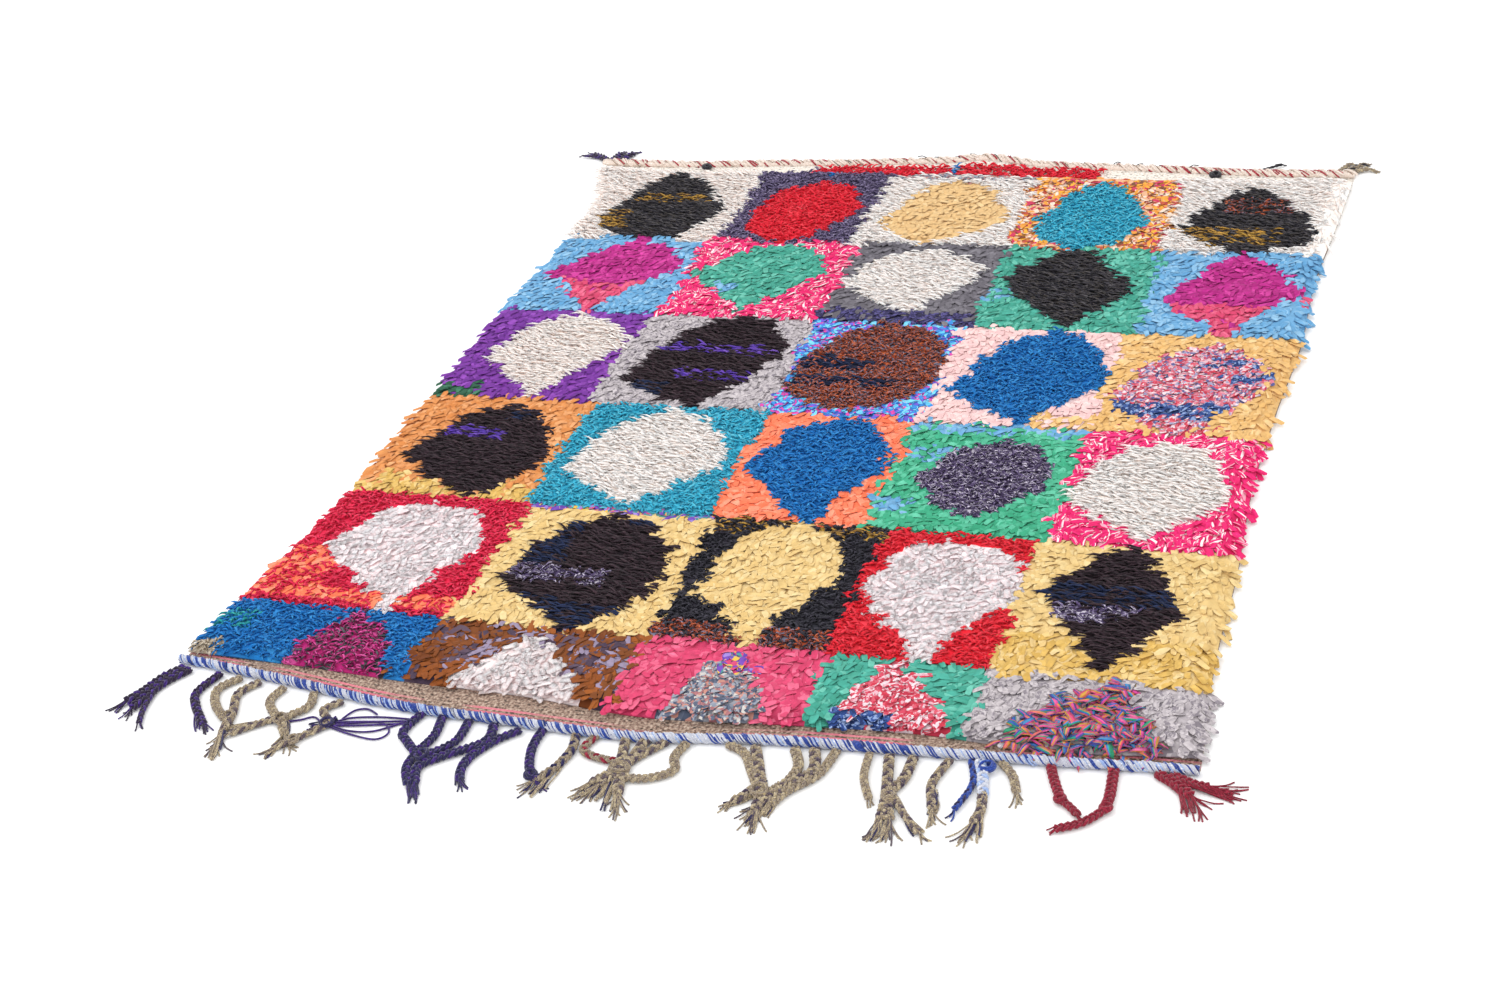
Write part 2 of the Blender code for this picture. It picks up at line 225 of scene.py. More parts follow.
def ground_weave(name, colours, stripe_share):
    """Weft-faced weave: dotted weft rows, and stripes measured from the near edge along the cloth's map."""
    material, tree, shader = new_material(name, 0.9, 0.15)
    chart = add_node(tree, "ShaderNodeUVMap", uv_map="weave").outputs[0]
    along = add_node(tree, "ShaderNodeSeparateXYZ", links={0: chart}).outputs["Y"]
    speckled = add_range(tree, add_noise(tree, chart, 260.0, 3.0), 0.36, 0.64)
    taupe = add_node(tree, "ShaderNodeValToRGB", links={0: speckled})
    ramp_colours(taupe, colours, True)
    stripes = add_node(tree, "ShaderNodeValToRGB", links={0: along})
    ramp = stripes.color_ramp
    ramp.interpolation = "CONSTANT"
    ramp.elements[0].color = (0, 0, 0, 1)
    for start, shade in WEFT_STRIPES:
        ramp.elements.new(start).color = (shade, shade, shade, 1)
    ramp.elements[-1].color = (0, 0, 0, 1)
    where = add_range(tree, add_noise(tree, chart, 6.0, 1.0), 0.45, 0.55, 0.0, stripe_share)
    share = add_maths(tree, "MULTIPLY", stripes.outputs["Color"], where)
    striped = add_node(tree, "ShaderNodeMix", data_type="RGBA", links={0: share, 6: taupe.outputs["Color"]})
    striped.inputs[7].default_value = (*linear(STRIPE_PINK), 1)
    stretched = add_node(tree, "ShaderNodeMapping", inputs={3: (0.7, 1.0, 1.0)}, links={0: chart}).outputs[0]
    dots = add_node(tree, "ShaderNodeTexVoronoi", inputs={"Scale": 210.0}, links={0: stretched})
    gaps = add_range(tree, dots.outputs["Distance"], 0.24, 0.46, 0.25, 1.0)
    where_dots = add_range(tree, add_wave(tree, chart, "Y", 46.0, 1.2), 0.35, 0.7)
    dotted = add_node(
        tree, "ShaderNodeMix", data_type="RGBA", blend_type="MULTIPLY",
        links={0: where_dots, 6: striped.outputs[2], 7: gaps},
    )
    tree.links.new(dotted.outputs[2], shader.inputs["Base Color"])
    rows, warps = add_wave(tree, chart, "Y", 95.0, 1.5), add_wave(tree, chart, "X", 70.0, 2.0)
    relief = add_maths(tree, "MULTIPLY", rows, warps)
    tree.links.new(add_bump(tree, relief, 0.7, 0.0012), shader.inputs["Normal"])
    return material


def build_cloth(across_steps=72, along_steps=96):
    """One closed thin sheet: the same grid of points on top and underneath, joined round the rim."""
    bm = bmesh.new()
    chart = bm.loops.layers.uv.new("weave")
    grid, places = [], {}
    for level in (1, 0):
        for i in range(across_steps + 1):
            share = i / across_steps
            guide = END_FROM + (END_TO - END_FROM) * share
            near, far = end(NEAR_EDGE, guide), end(FAR_EDGE, guide)
            column = []
            for j in range(along_steps + 1):
                y = near + (far - near) * j / along_steps
                x = side(LEFT_SIDE, y) * (1 - share) + side(RIGHT_SIDE, y) * share
                inward = min(1.0, 6 * min(share, 1 - share) + RIM_SHARE)
                height = level * (BAND_THICK * inward - WEFT_DENT * (j % 2)) + CLOTH_LIFT
                vert = bm.verts.new((x, y, height + ripple(x, y)))
                places[vert] = (x, y - near)
                column.append(vert)
            grid.append(column)
    half = across_steps + 1
    for i in range(across_steps):
        for j in range(along_steps):
            top = (grid[i][j], grid[i + 1][j], grid[i + 1][j + 1], grid[i][j + 1])
            low = tuple(grid[half + a][b] for a, b in ((i, j), (i, j + 1), (i + 1, j + 1), (i + 1, j)))
            bm.faces.new(top)
            bm.faces.new(low)
    rim = [(i, 0) for i in range(half)] + [(across_steps, j) for j in range(1, along_steps + 1)]
    rim += [(i, along_steps) for i in range(across_steps - 1, -1, -1)]
    rim += [(0, j) for j in range(along_steps - 1, 0, -1)]
    for (a, b), (c, d) in zip(rim, rim[1:] + rim[:1]):
        bm.faces.new((grid[a][b], grid[half + a][b], grid[half + c][d], grid[c][d]))
    for face in bm.faces:
        face.smooth = True
        face.material_index = int(face.calc_center_median().y > CREAM_END_FROM)
        for loop in face.loops:
            loop[chart].uv = places[loop.vert]
    bmesh.ops.recalc_face_normals(bm, faces=bm.faces)
    mesh = bpy.data.meshes.new("ground-cloth")
    bm.to_mesh(mesh)
    bm.free()
    mesh.materials.append(ground_weave("taupe ground weave", ("644e43", "8e7567", "a58d7c", "c4ae9d"), 1.0))
    mesh.materials.append(ground_weave("cream end weave", ("d9ccbd", "e6dcd0", "eee6dc", "f4eee6"), 0.0))
    return link_piece("ground-cloth", mesh)


cloth = build_cloth()
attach(cloth, "root")
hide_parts("rug-cloth")


# The dyed rags and yarns: strips cut from old jersey and printed cloth, and soft spun yarns.
# Each is one bolt, laid out on its own square of the pile's map, from which the tufts are cut.
Dye = namedtuple("Dye", "make mix colours")
DYES = {
    "cream": Dye("combed", "plain", ("fdeae1", "f7e2d8", "fff2ea")),
    "wool white": Dye("combed", "plain", ("fff1ea", "faeae2", "fff7f2")),
    "butter": Dye("rag", "plain", ("e0bc86", "d8b078", "e8ca98")),
    "scarlet": Dye("yarn", "plain", ("f0283e", "dc1c32", "f84856")),
    "purple marl": Dye("yarn", "marl", ("62567c", "9488a8", "3a3050", "746a8c")),
    "flower print": Dye(
        "rag", "flower",
        ("e89a40", "ecd6c4", "c8385c", "7a4a34", "eaa83c", "e2ae8a", "b8503c"),
    ),
    "turquoise": Dye("yarn", "plain", ("40bada", "2ea6c6", "68cce2")),
    "black": Dye("combed", "marl", ("2c2a34", "1a181e", "5c585c", "3a363e", "4e4844", "22242a")),
    "gold brown": Dye("combed", "marl", ("b08a3c", "4a3428", "cc9c48")),
    "sky blue": Dye("rag", "plain", ("70a8d2", "5896c4", "8ebcdc")),
    "magenta": Dye("rag", "plain", ("bc2688", "a01870", "d2409c")),
    "hot pink": Dye("rag", "plain", ("da4a72", "c83a62", "e87090")),
    "pink print": Dye(
        "rag", "stripe",
        ("ea2674", "f8e4e6", "da1a62", "e62872", "e0246a", "f0a0b4", "e0246a", "d41a5c",
         "ea2a76"),
    ),
    "sea green": Dye("rag", "plain", ("4caa98", "38927e", "6cc0ac")),
    "charcoal": Dye("rag", "plain", ("706c74", "5c5860", "86828a")),
    "navy violet": Dye("rag", "marl", ("34305a", "544e84", "242040")),
    "purple": Dye("rag", "plain", ("7a369c", "642686", "9048b2")),
    "grey marl": Dye("rag", "marl", ("bab2b5", "a8a0a4", "8a828a", "c6bec1", "b2aaae")),
    "brown black": Dye("combed", "marl", ("2e2028", "1e161c", "44333a", "362830")),
    "violet": Dye("combed", "plain", ("6a44b4", "5034a0", "8660c8")),
    "blue print": Dye("rag", "print", ("3a88d4", "7ad0ea", "6a5acc", "d848a4", "2856a8", "60c0e4")),
    "rust mix": Dye("yarn", "marl", ("b2522e", "6a4a50", "44303a", "cc6c44", "787a90", "943f26")),
    "pale pink": Dye("rag", "plain", ("f0ccc8", "e6bcbc", "f6d8d4")),
    "cobalt": Dye("yarn", "plain", ("2280cc", "166ab4", "3c98da")),
    "honey": Dye("rag", "plain", ("e4b878", "d8a864", "ecc890")),
    "flag print": Dye(
        "rag", "speck",
        ("cc4658", "e4d2d8", "d4788a", "dcb0ba", "b8364c", "5a5c90", "d06678", "9a98b8"),
    ),
    "orange": Dye("rag", "plain", ("da9256", "cc7e42", "e4a672")),
    "coral": Dye("rag", "plain", ("f88460", "f06e4a", "fca284")),
    "green": Dye("rag", "plain", ("46b08a", "329872", "64c4a2")),
    "plum marl": Dye("yarn", "marl", ("4e4064", "d0c8d8", "62527c", "3c304e", "4c405e", "8c80a0")),
    "crimson": Dye("yarn", "plain", ("ee2638", "d81c2e", "f64454")),
    "rose red": Dye("yarn", "plain", ("ea2c54", "d41e44", "f44c6c")),
    "pinkish white": Dye("rag", "plain", ("fbe6e7", "f4dcde", "ffeff0")),
    "pale yellow": Dye("rag", "plain", ("e2c488", "d6b474", "e8d09a")),
    "navy": Dye("combed", "plain", ("1e2a4c", "161e38", "2c3a62")),
    "ink": Dye("yarn", "marl", ("2c2c34", "202028", "42404a", "34303c")),
    "yellow": Dye("rag", "plain", ("dcb666", "cca454", "e6c888")),
    "rust lilac": Dye(
        "rag", "clump",
        ("8a4a1e", "6e3816", "94869f", "7c421a", "4a3a4c", "985422", "7a4420", "5c4a5a"),
    ),
    "lilac white": Dye("rag", "plain", ("f0dedd", "e8d2d2", "f6e8e6")),
    "slate mix": Dye("rag", "speck", ("9a9ca6", "c8c4c0", "c0887c", "5c6478", "a87074", "8c94a4", "4c5468")),
    "red print": Dye("rag", "speck", ("c8384c", "e6d4da", "d25a6c", "b83248", "dca8b4", "cc4a60")),
    "navy print": Dye("rag", "speck", ("26407c", "3a5694", "8aa0cc", "1e3060")),
    "bright mix": Dye(
        "curly", "strand",
        ("e8689a", "2f9a90", "e08a4c", "3c62b0", "dc4fa0", "3aa078", "e0507c", "d8a04a",
         "e070a0", "4a8cc0", "5c50a0"),
    ),
    "magenta grey": Dye("yarn", "print", ("c42c80", "626268", "961e60", "e05aa4", "b82a72", "3e3a42")),
    "violet print": Dye("rag", "print", ("744ab0", "cc4674", "e8bc50", "6440a0", "9880cc", "4a8a8c")),
    "teal": Dye("yarn", "plain", ("28a0a6", "1c888e", "40b6b6")),
    "tan wool": Dye("yarn", "marl", ("b8a890", "d2c6b4", "8a7866", "c4b6a0")),
    "dark green": Dye("rag", "plain", ("2e644a", "224c38", "40785e")),
}
DYE_NAMES = tuple(DYES)
BOLT_SIZE = 0.8
BOLTS_A_SIDE = 4
# How large the patches of a mix are, and whether neighbouring tufts share one.
Patch = namedtuple("Patch", "across along together")
MIX_PATCH = {
    "plain": Patch(0.022, 0.022, False),
    "marl": Patch(0.0042, 0.0042, False),
    "speck": Patch(0.0052, 0.0052, False),
    "print": Patch(0.0085, 0.0085, False),
    "flower": Patch(0.013, 0.013, True),
    "clump": Patch(0.026, 0.026, True),
    "stripe": Patch(0.0030, 0.020, False),
    "strand": Patch(0.0027, 0.060, False),
}
# The pale rags and wools are thin enough for light to pass through their edges.
PALE_DYES = ("cream", "wool white", "pinkish white", "lilac white")
LIGHT_THROUGH = 0.8
LIGHT_DEPTH = 0.008
LIGHT_TINT = (1.0, 0.9, 0.85)


def dyed_cloth(name):
    """A bolt's material: patches of its colours on the pile's map, uneven dye, and a fine knitted relief."""
    dye = DYES[name]
    roughness = 0.88 if dye.make == "rag" else 0.95
    material, tree, shader = new_material(f"{name} {dye.make}", roughness, 0.03)
    if name in PALE_DYES:
        shader.inputs["Subsurface Weight"].default_value = LIGHT_THROUGH
        shader.inputs["Subsurface Radius"].default_value = LIGHT_TINT
        shader.inputs["Subsurface Scale"].default_value = LIGHT_DEPTH
    bolt = add_node(tree, "ShaderNodeUVMap", uv_map="OFBake").outputs[0]
    size = MIX_PATCH[dye.mix]
    counts = (BOLT_SIZE / size.across, BOLT_SIZE / size.along, 1.0)
    spread = add_node(tree, "ShaderNodeMapping", inputs={3: counts}, links={0: bolt})
    patch = add_node(tree, "ShaderNodeTexVoronoi", inputs={"Scale": 1.0}, links={0: spread.outputs[0]})
    pick = add_node(tree, "ShaderNodeSeparateColor", links={0: patch.outputs["Color"]})
    colours = add_node(tree, "ShaderNodeValToRGB", links={0: pick.outputs[0]})
    ramp_colours(colours, dye.colours, dye.mix == "plain")
    dullest, relief = (0.97, 0.4) if name in PALE_DYES else (0.80, 1.0)
    shade = add_range(tree, add_noise(tree, bolt, 90.0, 2.0), 0.3, 0.7, dullest, 1.06)
    dyed = add_node(
        tree, "ShaderNodeMix", data_type="RGBA", blend_type="MULTIPLY", inputs={0: 1.0},
        links={6: colours.outputs["Color"], 7: shade},
    )
    tree.links.new(dyed.outputs[2], shader.inputs["Base Color"])
    knit = add_bump(tree, add_noise(tree, bolt, 700.0, 2.0), 0.4 * relief, 0.0006)
    folds = add_bump(tree, add_noise(tree, bolt, 190.0, 1.0), 0.6 * relief, 0.0014, {"Normal": knit})
    tree.links.new(folds, shader.inputs["Normal"])
    return material


dye_materials = {name: dyed_cloth(name) for name in DYES}


# The chart: five columns of lozenges in squares, six rows from the far end, the last cut off by the end.
# Each cell names its field and its lozenge, then the lozenge's four points, each by its x and its share of
# the way down the row, and how its upper flanks swell and its lower ones taper: 1 is straight, less is
# fuller. Streaks are rows of another yarn worked into a cell.
Cell = namedtuple("Cell", "field lozenge top left right bottom swell taper", defaults=(1.1,))
CHART = (
    (
        Cell("cream", "black", (-0.495, 0.10), (-0.585, 0.80), (-0.370, 0.62), (-0.455, 1.00), 0.60, 0.32),
        Cell("purple marl", "scarlet", (-0.215, 0.20), (-0.315, 0.80), (-0.125, 0.58), (-0.225, 1.00),
             0.24, 0.45),
        Cell("wool white", "butter", (0.025, 0.15), (-0.075, 0.75), (0.140, 0.64), (0.030, 0.97), 0.40, 0.50),
        Cell("flower print", "turquoise", (0.275, 0.15), (0.190, 0.75), (0.370, 0.68), (0.280, 1.00),
             0.44, 0.45),
        Cell("wool white", "black", (0.530, 0.20), (0.430, 0.70), (0.645, 0.75), (0.540, 1.00), 0.56, 0.42),
    ),
    (
        Cell("sky blue", "magenta", (-0.470, 0.00), (-0.595, 0.55), (-0.365, 0.38), (-0.480, 1.00), 0.65),
        Cell("pink print", "sea green", (-0.210, 0.00), (-0.335, 0.50), (-0.110, 0.40), (-0.220, 0.95), 0.44),
        Cell("charcoal", "wool white", (0.025, 0.05), (-0.075, 0.55), (0.150, 0.40), (0.050, 0.92), 0.36),
        Cell("sea green", "black", (0.280, 0.00), (0.180, 0.45), (0.385, 0.50), (0.305, 0.97), 0.60, 0.90),
        Cell("sky blue", "magenta", (0.540, 0.00), (0.440, 0.60), (0.645, 0.45), (0.545, 1.00), 0.62),
    ),
    (
        Cell("purple", "cream", (-0.485, 0.05), (-0.585, 0.60), (-0.365, 0.40), (-0.460, 0.98), 0.36),
        Cell("grey marl", "brown black", (-0.200, 0.00), (-0.335, 0.75), (-0.100, 0.38), (-0.200, 1.00),
             0.40, 0.75),
        Cell("blue print", "rust mix", (0.045, 0.00), (-0.080, 0.75), (0.170, 0.50), (0.055, 0.97),
             0.36, 0.60),
        Cell("pale pink", "cobalt", (0.305, 0.02), (0.180, 0.70), (0.405, 0.54), (0.300, 0.98), 0.36, 0.80),
        Cell("honey", "flag print", (0.545, 0.10), (0.415, 0.65), (0.635, 0.40), (0.515, 1.00), 0.50, 0.50),
    ),
    (
        Cell("orange", "brown black", (-0.470, 0.08), (-0.585, 0.65), (-0.360, 0.62), (-0.440, 1.00),
             0.40, 0.65),
        Cell("turquoise", "wool white", (-0.215, 0.05), (-0.325, 0.70), (-0.085, 0.55), (-0.195, 0.98), 0.34),
        Cell("coral", "cobalt", (0.050, 0.02), (-0.055, 0.60), (0.155, 0.45), (0.070, 1.00), 0.40),
        Cell("green", "plum marl", (0.295, 0.14), (0.195, 0.55), (0.385, 0.46), (0.285, 0.88), 0.40, 0.60),
        Cell("pink print", "wool white", (0.515, 0.07), (0.410, 0.60), (0.620, 0.52), (0.525, 0.93),
             0.38, 0.62),
    ),
    (
        Cell("rose red", "pinkish white", (-0.475, 0.05), (-0.595, 0.55), (-0.360, 0.40), (-0.435, 0.97),
             0.34),
        Cell("pale yellow", "brown black", (-0.195, 0.05), (-0.305, 0.65), (-0.070, 0.54), (-0.170, 1.00),
             0.38, 0.85),
        Cell("ink", "pale yellow", (0.065, 0.00), (-0.030, 0.60), (0.160, 0.40), (0.080, 0.97), 0.30),
        Cell("crimson", "pinkish white", (0.280, 0.05), (0.195, 0.52), (0.405, 0.42), (0.305, 1.00), 0.26),
        Cell("pale yellow", "brown black", (0.520, 0.00), (0.425, 0.40), (0.604, 0.52), (0.525, 0.95),
             0.74, 1.0),
    ),
    (
        Cell("cobalt", "magenta grey", (-0.460, 0.00), (-0.530, 0.45), (-0.370, 0.40), (-0.450, 1.30), 0.60),
        Cell("rust lilac", "lilac white", (-0.205, 0.08), (-0.285, 0.55), (-0.095, 0.50), (-0.180, 1.30),
             0.60),
        Cell("hot pink", "slate mix", (0.080, 0.05), (0.005, 0.60), (0.155, 0.50), (0.080, 1.30), 0.60),
        Cell("sea green", "red print", (0.290, 0.00), (0.230, 0.45), (0.395, 0.55), (0.315, 1.30), 0.68),
        Cell("grey marl", "bright mix", (0.550, 0.00), (0.425, 0.50), (0.645, 0.55), (0.540, 1.30), 0.68),
    ),
)
ROW_MEETS = (0.724, 0.444, 0.191, -0.085, -0.355, -0.634, -0.905)
COLUMN_MEETS = (
    (-0.340, -0.103, 0.155, 0.408), (-0.353, -0.082, 0.166, 0.416), (-0.362, -0.078, 0.158, 0.405),
    (-0.345, -0.065, 0.155, 0.405), (-0.335, -0.051, 0.187, 0.397), (-0.347, -0.048, 0.195, 0.395),
)
STEM = 0.010
PEAK = 0.09
KNOT_ACROSS = 0.010
KNOT_ALONG = 0.013

Streak = namedtuple("Streak", "row column on start stop left right dye share")
STREAKS = (
    Streak(0, 1, "both", -0.3, 0.07, -0.25, 1.0, "scarlet", 1.0),
    Streak(0, 1, "field", 0.05, 0.12, 0.02, 0.16, "cobalt", 0.9),
    Streak(0, 2, "both", -0.3, 0.07, -1.0, -0.26, "scarlet", 1.0),
    Streak(0, 2, "both", -0.3, 0.07, -0.26, -0.14, "cobalt", 0.9),
    Streak(0, 2, "both", -0.3, 0.07, -0.14, 1.0, "scarlet", 1.0),
    Streak(0, 2, "field", 0.07, 0.15, -1.0, 1.0, "slate mix", 0.8),
    Streak(0, 3, "both", -0.3, 0.07, -1.0, -0.18, "scarlet", 1.0),
    Streak(0, 0, "lozenge", 0.42, 0.54, -0.4, 0.5, "gold brown", 0.6),
    Streak(0, 0, "lozenge", 0.66, 0.88, -1.0, -0.4, "gold brown", 0.7),
    Streak(0, 4, "lozenge", 0.34, 0.50, -0.4, 0.6, "rust mix", 0.5),
    Streak(0, 4, "lozenge", 0.70, 0.92, -0.9, 0.4, "gold brown", 0.5),
    Streak(1, 0, "lozenge", 0.62, 1.00, -1.0, 1.0, "hot pink", 0.95),
    Streak(1, 4, "lozenge", 0.64, 1.00, -1.0, 1.0, "hot pink", 0.95),
    Streak(1, 1, "lozenge", 0.60, 0.72, -0.5, -0.2, "sky blue", 0.7),
    Streak(1, 2, "field", 0.86, 1.00, -1.0, 1.0, "navy violet", 0.85),
    Streak(1, 3, "field", 0.56, 0.68, -1.0, -0.5, "sky blue", 0.7),
    Streak(1, 4, "field", 0.48, 0.62, 0.88, 1.0, "hot pink", 0.7),
    Streak(2, 0, "field", 0.88, 1.00, -1.0, -0.35, "dark green", 0.9),
    Streak(2, 1, "lozenge", 0.36, 0.43, -0.9, 0.9, "violet", 0.5),
    Streak(2, 1, "lozenge", 0.62, 0.70, -0.2, 0.8, "violet", 0.5),
    Streak(2, 1, "lozenge", 0.76, 0.90, -0.8, -0.3, "navy", 0.6),
    Streak(2, 2, "lozenge", 0.42, 0.54, -1.0, 0.0, "navy", 0.8),
    Streak(2, 2, "lozenge", 0.62, 0.70, -1.0, 0.4, "navy", 0.6),
    Streak(2, 3, "field", 0.88, 1.00, 0.2, 1.0, "honey", 0.7),
    Streak(2, 4, "lozenge", 0.72, 0.85, -1.0, 0.5, "navy print", 0.85),
    Streak(2, 4, "lozenge", 0.26, 0.33, 0.0, 1.0, "navy print", 0.5),
    Streak(2, 4, "lozenge", 0.40, 0.46, 0.2, 1.0, "navy print", 0.5),
    Streak(2, 4, "both", 0.88, 0.97, -0.7, 0.5, "red print", 0.5),
    Streak(3, 0, "field", 0.84, 1.00, -1.0, 1.0, "yellow", 0.9),
    Streak(3, 0, "lozenge", 0.33, 0.42, -0.8, 0.2, "violet", 0.7),
    Streak(3, 0, "lozenge", 0.10, 0.24, 0.2, 0.6, "navy", 0.5),
    Streak(3, 3, "field", 0.00, 0.10, -1.0, 1.0, "sky blue", 0.7),
    Streak(3, 3, "field", 0.24, 0.38, -1.0, -0.4, "sky blue", 0.5),
    Streak(3, 3, "field", 0.74, 0.86, -1.0, -0.6, "sky blue", 0.7),
    Streak(4, 0, "field", 0.52, 0.84, -1.0, -0.4, "coral", 0.6),
    Streak(4, 0, "field", 0.84, 0.95, -1.0, 1.0, "coral", 0.7),
    Streak(4, 1, "both", -0.03, 0.05, -1.0, 1.0, "violet print", 0.9),
    Streak(4, 1, "lozenge", 0.10, 0.50, -1.0, -0.3, "navy", 0.7),
    Streak(4, 1, "lozenge", 0.05, 0.16, 0.1, 0.7, "navy", 0.7),
    Streak(4, 1, "lozenge", 0.52, 0.64, -1.0, 0.3, "plum marl", 0.8),
    Streak(4, 1, "lozenge", 0.78, 1.00, -1.0, 1.0, "navy", 0.6),
    Streak(4, 2, "field", 0.00, 0.12, -1.0, 1.0, "gold brown", 0.3),
    Streak(4, 2, "field", 0.84, 1.00, -1.0, 1.0, "rust mix", 0.7),
    Streak(4, 4, "field", 0.72, 1.00, -1.0, 1.0, "yellow", 0.8),
    Streak(4, 4, "lozenge", 0.34, 0.48, -1.0, 1.0, "navy", 0.6),
    Streak(4, 4, "lozenge", 0.48, 0.60, -1.0, 0.2, "plum marl", 0.8),
    Streak(5, 0, "field", 0.10, 0.25, -1.0, -0.6, "teal", 0.5),
    Streak(5, 0, "field", 0.40, 0.60, 0.55, 0.9, "rust lilac", 0.4),
    Streak(5, 0, "field", 0.33, 0.60, -1.0, -0.74, "tan wool", 0.9),
    Streak(5, 2, "lozenge", 0.00, 0.14, -1.0, 1.0, "violet print", 0.9),
    Streak(5, 3, "lozenge", 0.36, 0.56, -1.0, 0.1, "navy print", 0.9),
)


def wander(x, y, size, lane):
    """Smooth noise over the rug, in patches of one size; each lane gives other noise."""
    return noise.noise(Vector((x / size, y / size, lane)))


def column_meet(index, row, y):
    """Where two columns meet in one row; the first and last are the rug's side edges."""
    if index == 0:
        return side(LEFT_SIDE, y)
    if index == len(COLUMN_MEETS[row]) + 1:
        return side(RIGHT_SIDE, y)
    return COLUMN_MEETS[row][index - 1]


def flank(cell, down, tip):
    """One side of a lozenge: a thin peak, a swell from the top point to the tip, and a taper to the bottom."""
    tip_x, tip_at = tip
    above = down < tip_at
    point, point_at = cell.top if above else cell.bottom
    share = (down - point_at) / (tip_at - point_at)
    if share <= 0:
        return point
    stem = STEM if tip_x > point else -STEM
    grown = max(0.0, share - PEAK) / (1 - PEAK)
    return point + stem + (tip_x - point - stem) * grown ** (cell.swell if above else cell.taper)


def charted_dye(x, y, chance):
    """The dye of a knot at x, y. Knots are counted in rows, so outlines go in steps."""
    x = round(x / KNOT_ACROSS) * KNOT_ACROSS
    y = round(y / KNOT_ALONG) * KNOT_ALONG
    x += 0.008 * wander(x, y, 0.03, 3.3) + 0.014 * wander(x, y, 0.012, 5.1)
    y += 0.007 * wander(x, y, 0.05, 6.7)
    row = sum(1 for meet in ROW_MEETS[1:-1] if y < meet)
    column = sum(1 for i in range(1, len(CHART[row])) if x > column_meet(i, row, y))
    left, right = column_meet(column, row, y), column_meet(column + 1, row, y)
    across = min(1, max(-1, 2 * (x - left) / (right - left) - 1))
    down = (ROW_MEETS[row] - y) / (ROW_MEETS[row] - ROW_MEETS[row + 1])
    cell = CHART[row][column]
    inside = flank(cell, down, cell.left) < x < flank(cell, down, cell.right)
    dye = cell.lozenge if inside else cell.field
    for streak in STREAKS:
        if streak.row != row or streak.column != column or not streak.start <= down < streak.stop:
            continue
        if streak.on != "both" and (streak.on == "lozenge") != inside:
            continue
        if streak.left <= across <= streak.right and chance < streak.share:
            dye = streak.dye
    return dye, row


# The pile: rag strips and yarns knotted through the ground row by row. Their roots stand packed
# together and their ends fall towards the near end, so each row shingles over the one below.
ROOT_HEIGHT = 0.0152
ROOT_LUMP = 0.0022
ROW_DIP = 0.003
DIP_SPREAD = 0.009
RIM_FALL = 0.022
ROOT_CRUMBLE = 0.0012
ROOT_FOOT = 0.0046
FIELD_WIDTH, FIELD_LENGTH = 1.35, 1.5
# The skin under the bright strands, and the strip at the far end where the knots go on over the band.
UNDER_STRANDS = "grey marl"
RED_STRIP = (-0.252, 0.258)
RED_STRIP_OVER = 0.030


def root_height(x, y):
    """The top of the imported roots: lumpy, lower between pattern rows, falling away at the rims."""
    dips = sum(max(0.0, 1 - abs(y - meet) / DIP_SPREAD) for meet in ROW_MEETS[1:-1])
    rim = min(x - side(LEFT_SIDE, y), side(RIGHT_SIDE, y) - x) / RIM_FALL
    ends = min(y - end(NEAR_PILE, x), end(FAR_PILE, x) - y) / RIM_FALL
    fall = min(1.0, 0.45 + 0.55 * max(0.0, min(rim, ends)))
    lump = ROOT_LUMP * wander(x, y, 0.05, 1.7)
    return (ROOT_HEIGHT + lump - ROW_DIP * dips) * fall + ripple(x, y)


def build_roots(step=0.0105):
    """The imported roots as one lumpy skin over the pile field, each face dyed by the chart."""
    bm = bmesh.new()
    chart = bm.loops.layers.uv.new("OFBake")
    grid = []
    across_steps = round(FIELD_WIDTH / step)
    along_steps = round(FIELD_LENGTH / step)
    for i in range(across_steps + 1):
        share = i / across_steps
        guide = END_FROM + (END_TO - END_FROM) * share
        near, far = end(NEAR_PILE, guide), end(FAR_PILE, guide)
        column = []
        for j in range(along_steps + 1):
            y = near + (far - near) * j / along_steps
            x = side(LEFT_SIDE, y) * (1 - share) + side(RIGHT_SIDE, y) * share
            z = root_height(x, y) + ROOT_CRUMBLE * wander(x, y, 0.008, 9.1)
            column.append(bm.verts.new((x, y, max(z, ROOT_FOOT + 0.0006))))
        grid.append(column)
    for i in range(across_steps):
        for j in range(along_steps):
            face = bm.faces.new((grid[i][j], grid[i + 1][j], grid[i + 1][j + 1], grid[i][j + 1]))
            middle = face.calc_center_median()
            chance = abs(wander(middle.x, middle.y, 0.01, 2.2)) * 2
            dye, _ = charted_dye(middle.x, middle.y, chance)
            dye = UNDER_STRANDS if DYES[dye].mix == "strand" else dye
            face.material_index = DYE_NAMES.index(dye)
            face.smooth = True
    for face in bm.faces:
        for loop in face.loops:
            loop[chart].uv = ((loop.vert.co.x + 0.8) / 1.6, (loop.vert.co.y + 0.85) / 1.7)
    rim_edges = [edge for edge in bm.edges if edge.is_boundary]
    foot = bmesh.ops.extrude_edge_only(bm, edges=rim_edges)["geom"]
    for vert in (item for item in foot if isinstance(item, bmesh.types.BMVert)):
        vert.co.z = ROOT_FOOT + ripple(vert.co.x, vert.co.y)
    bmesh.ops.contextual_create(bm, geom=[edge for edge in bm.edges if edge.is_boundary])
    bmesh.ops.recalc_face_normals(bm, faces=bm.faces)
    mesh = bpy.data.meshes.new("pile-roots")
    bm.to_mesh(mesh)
    bm.free()
    for name in DYE_NAMES:
        mesh.materials.append(dye_materials[name])
    return link_piece("pile-roots", mesh)


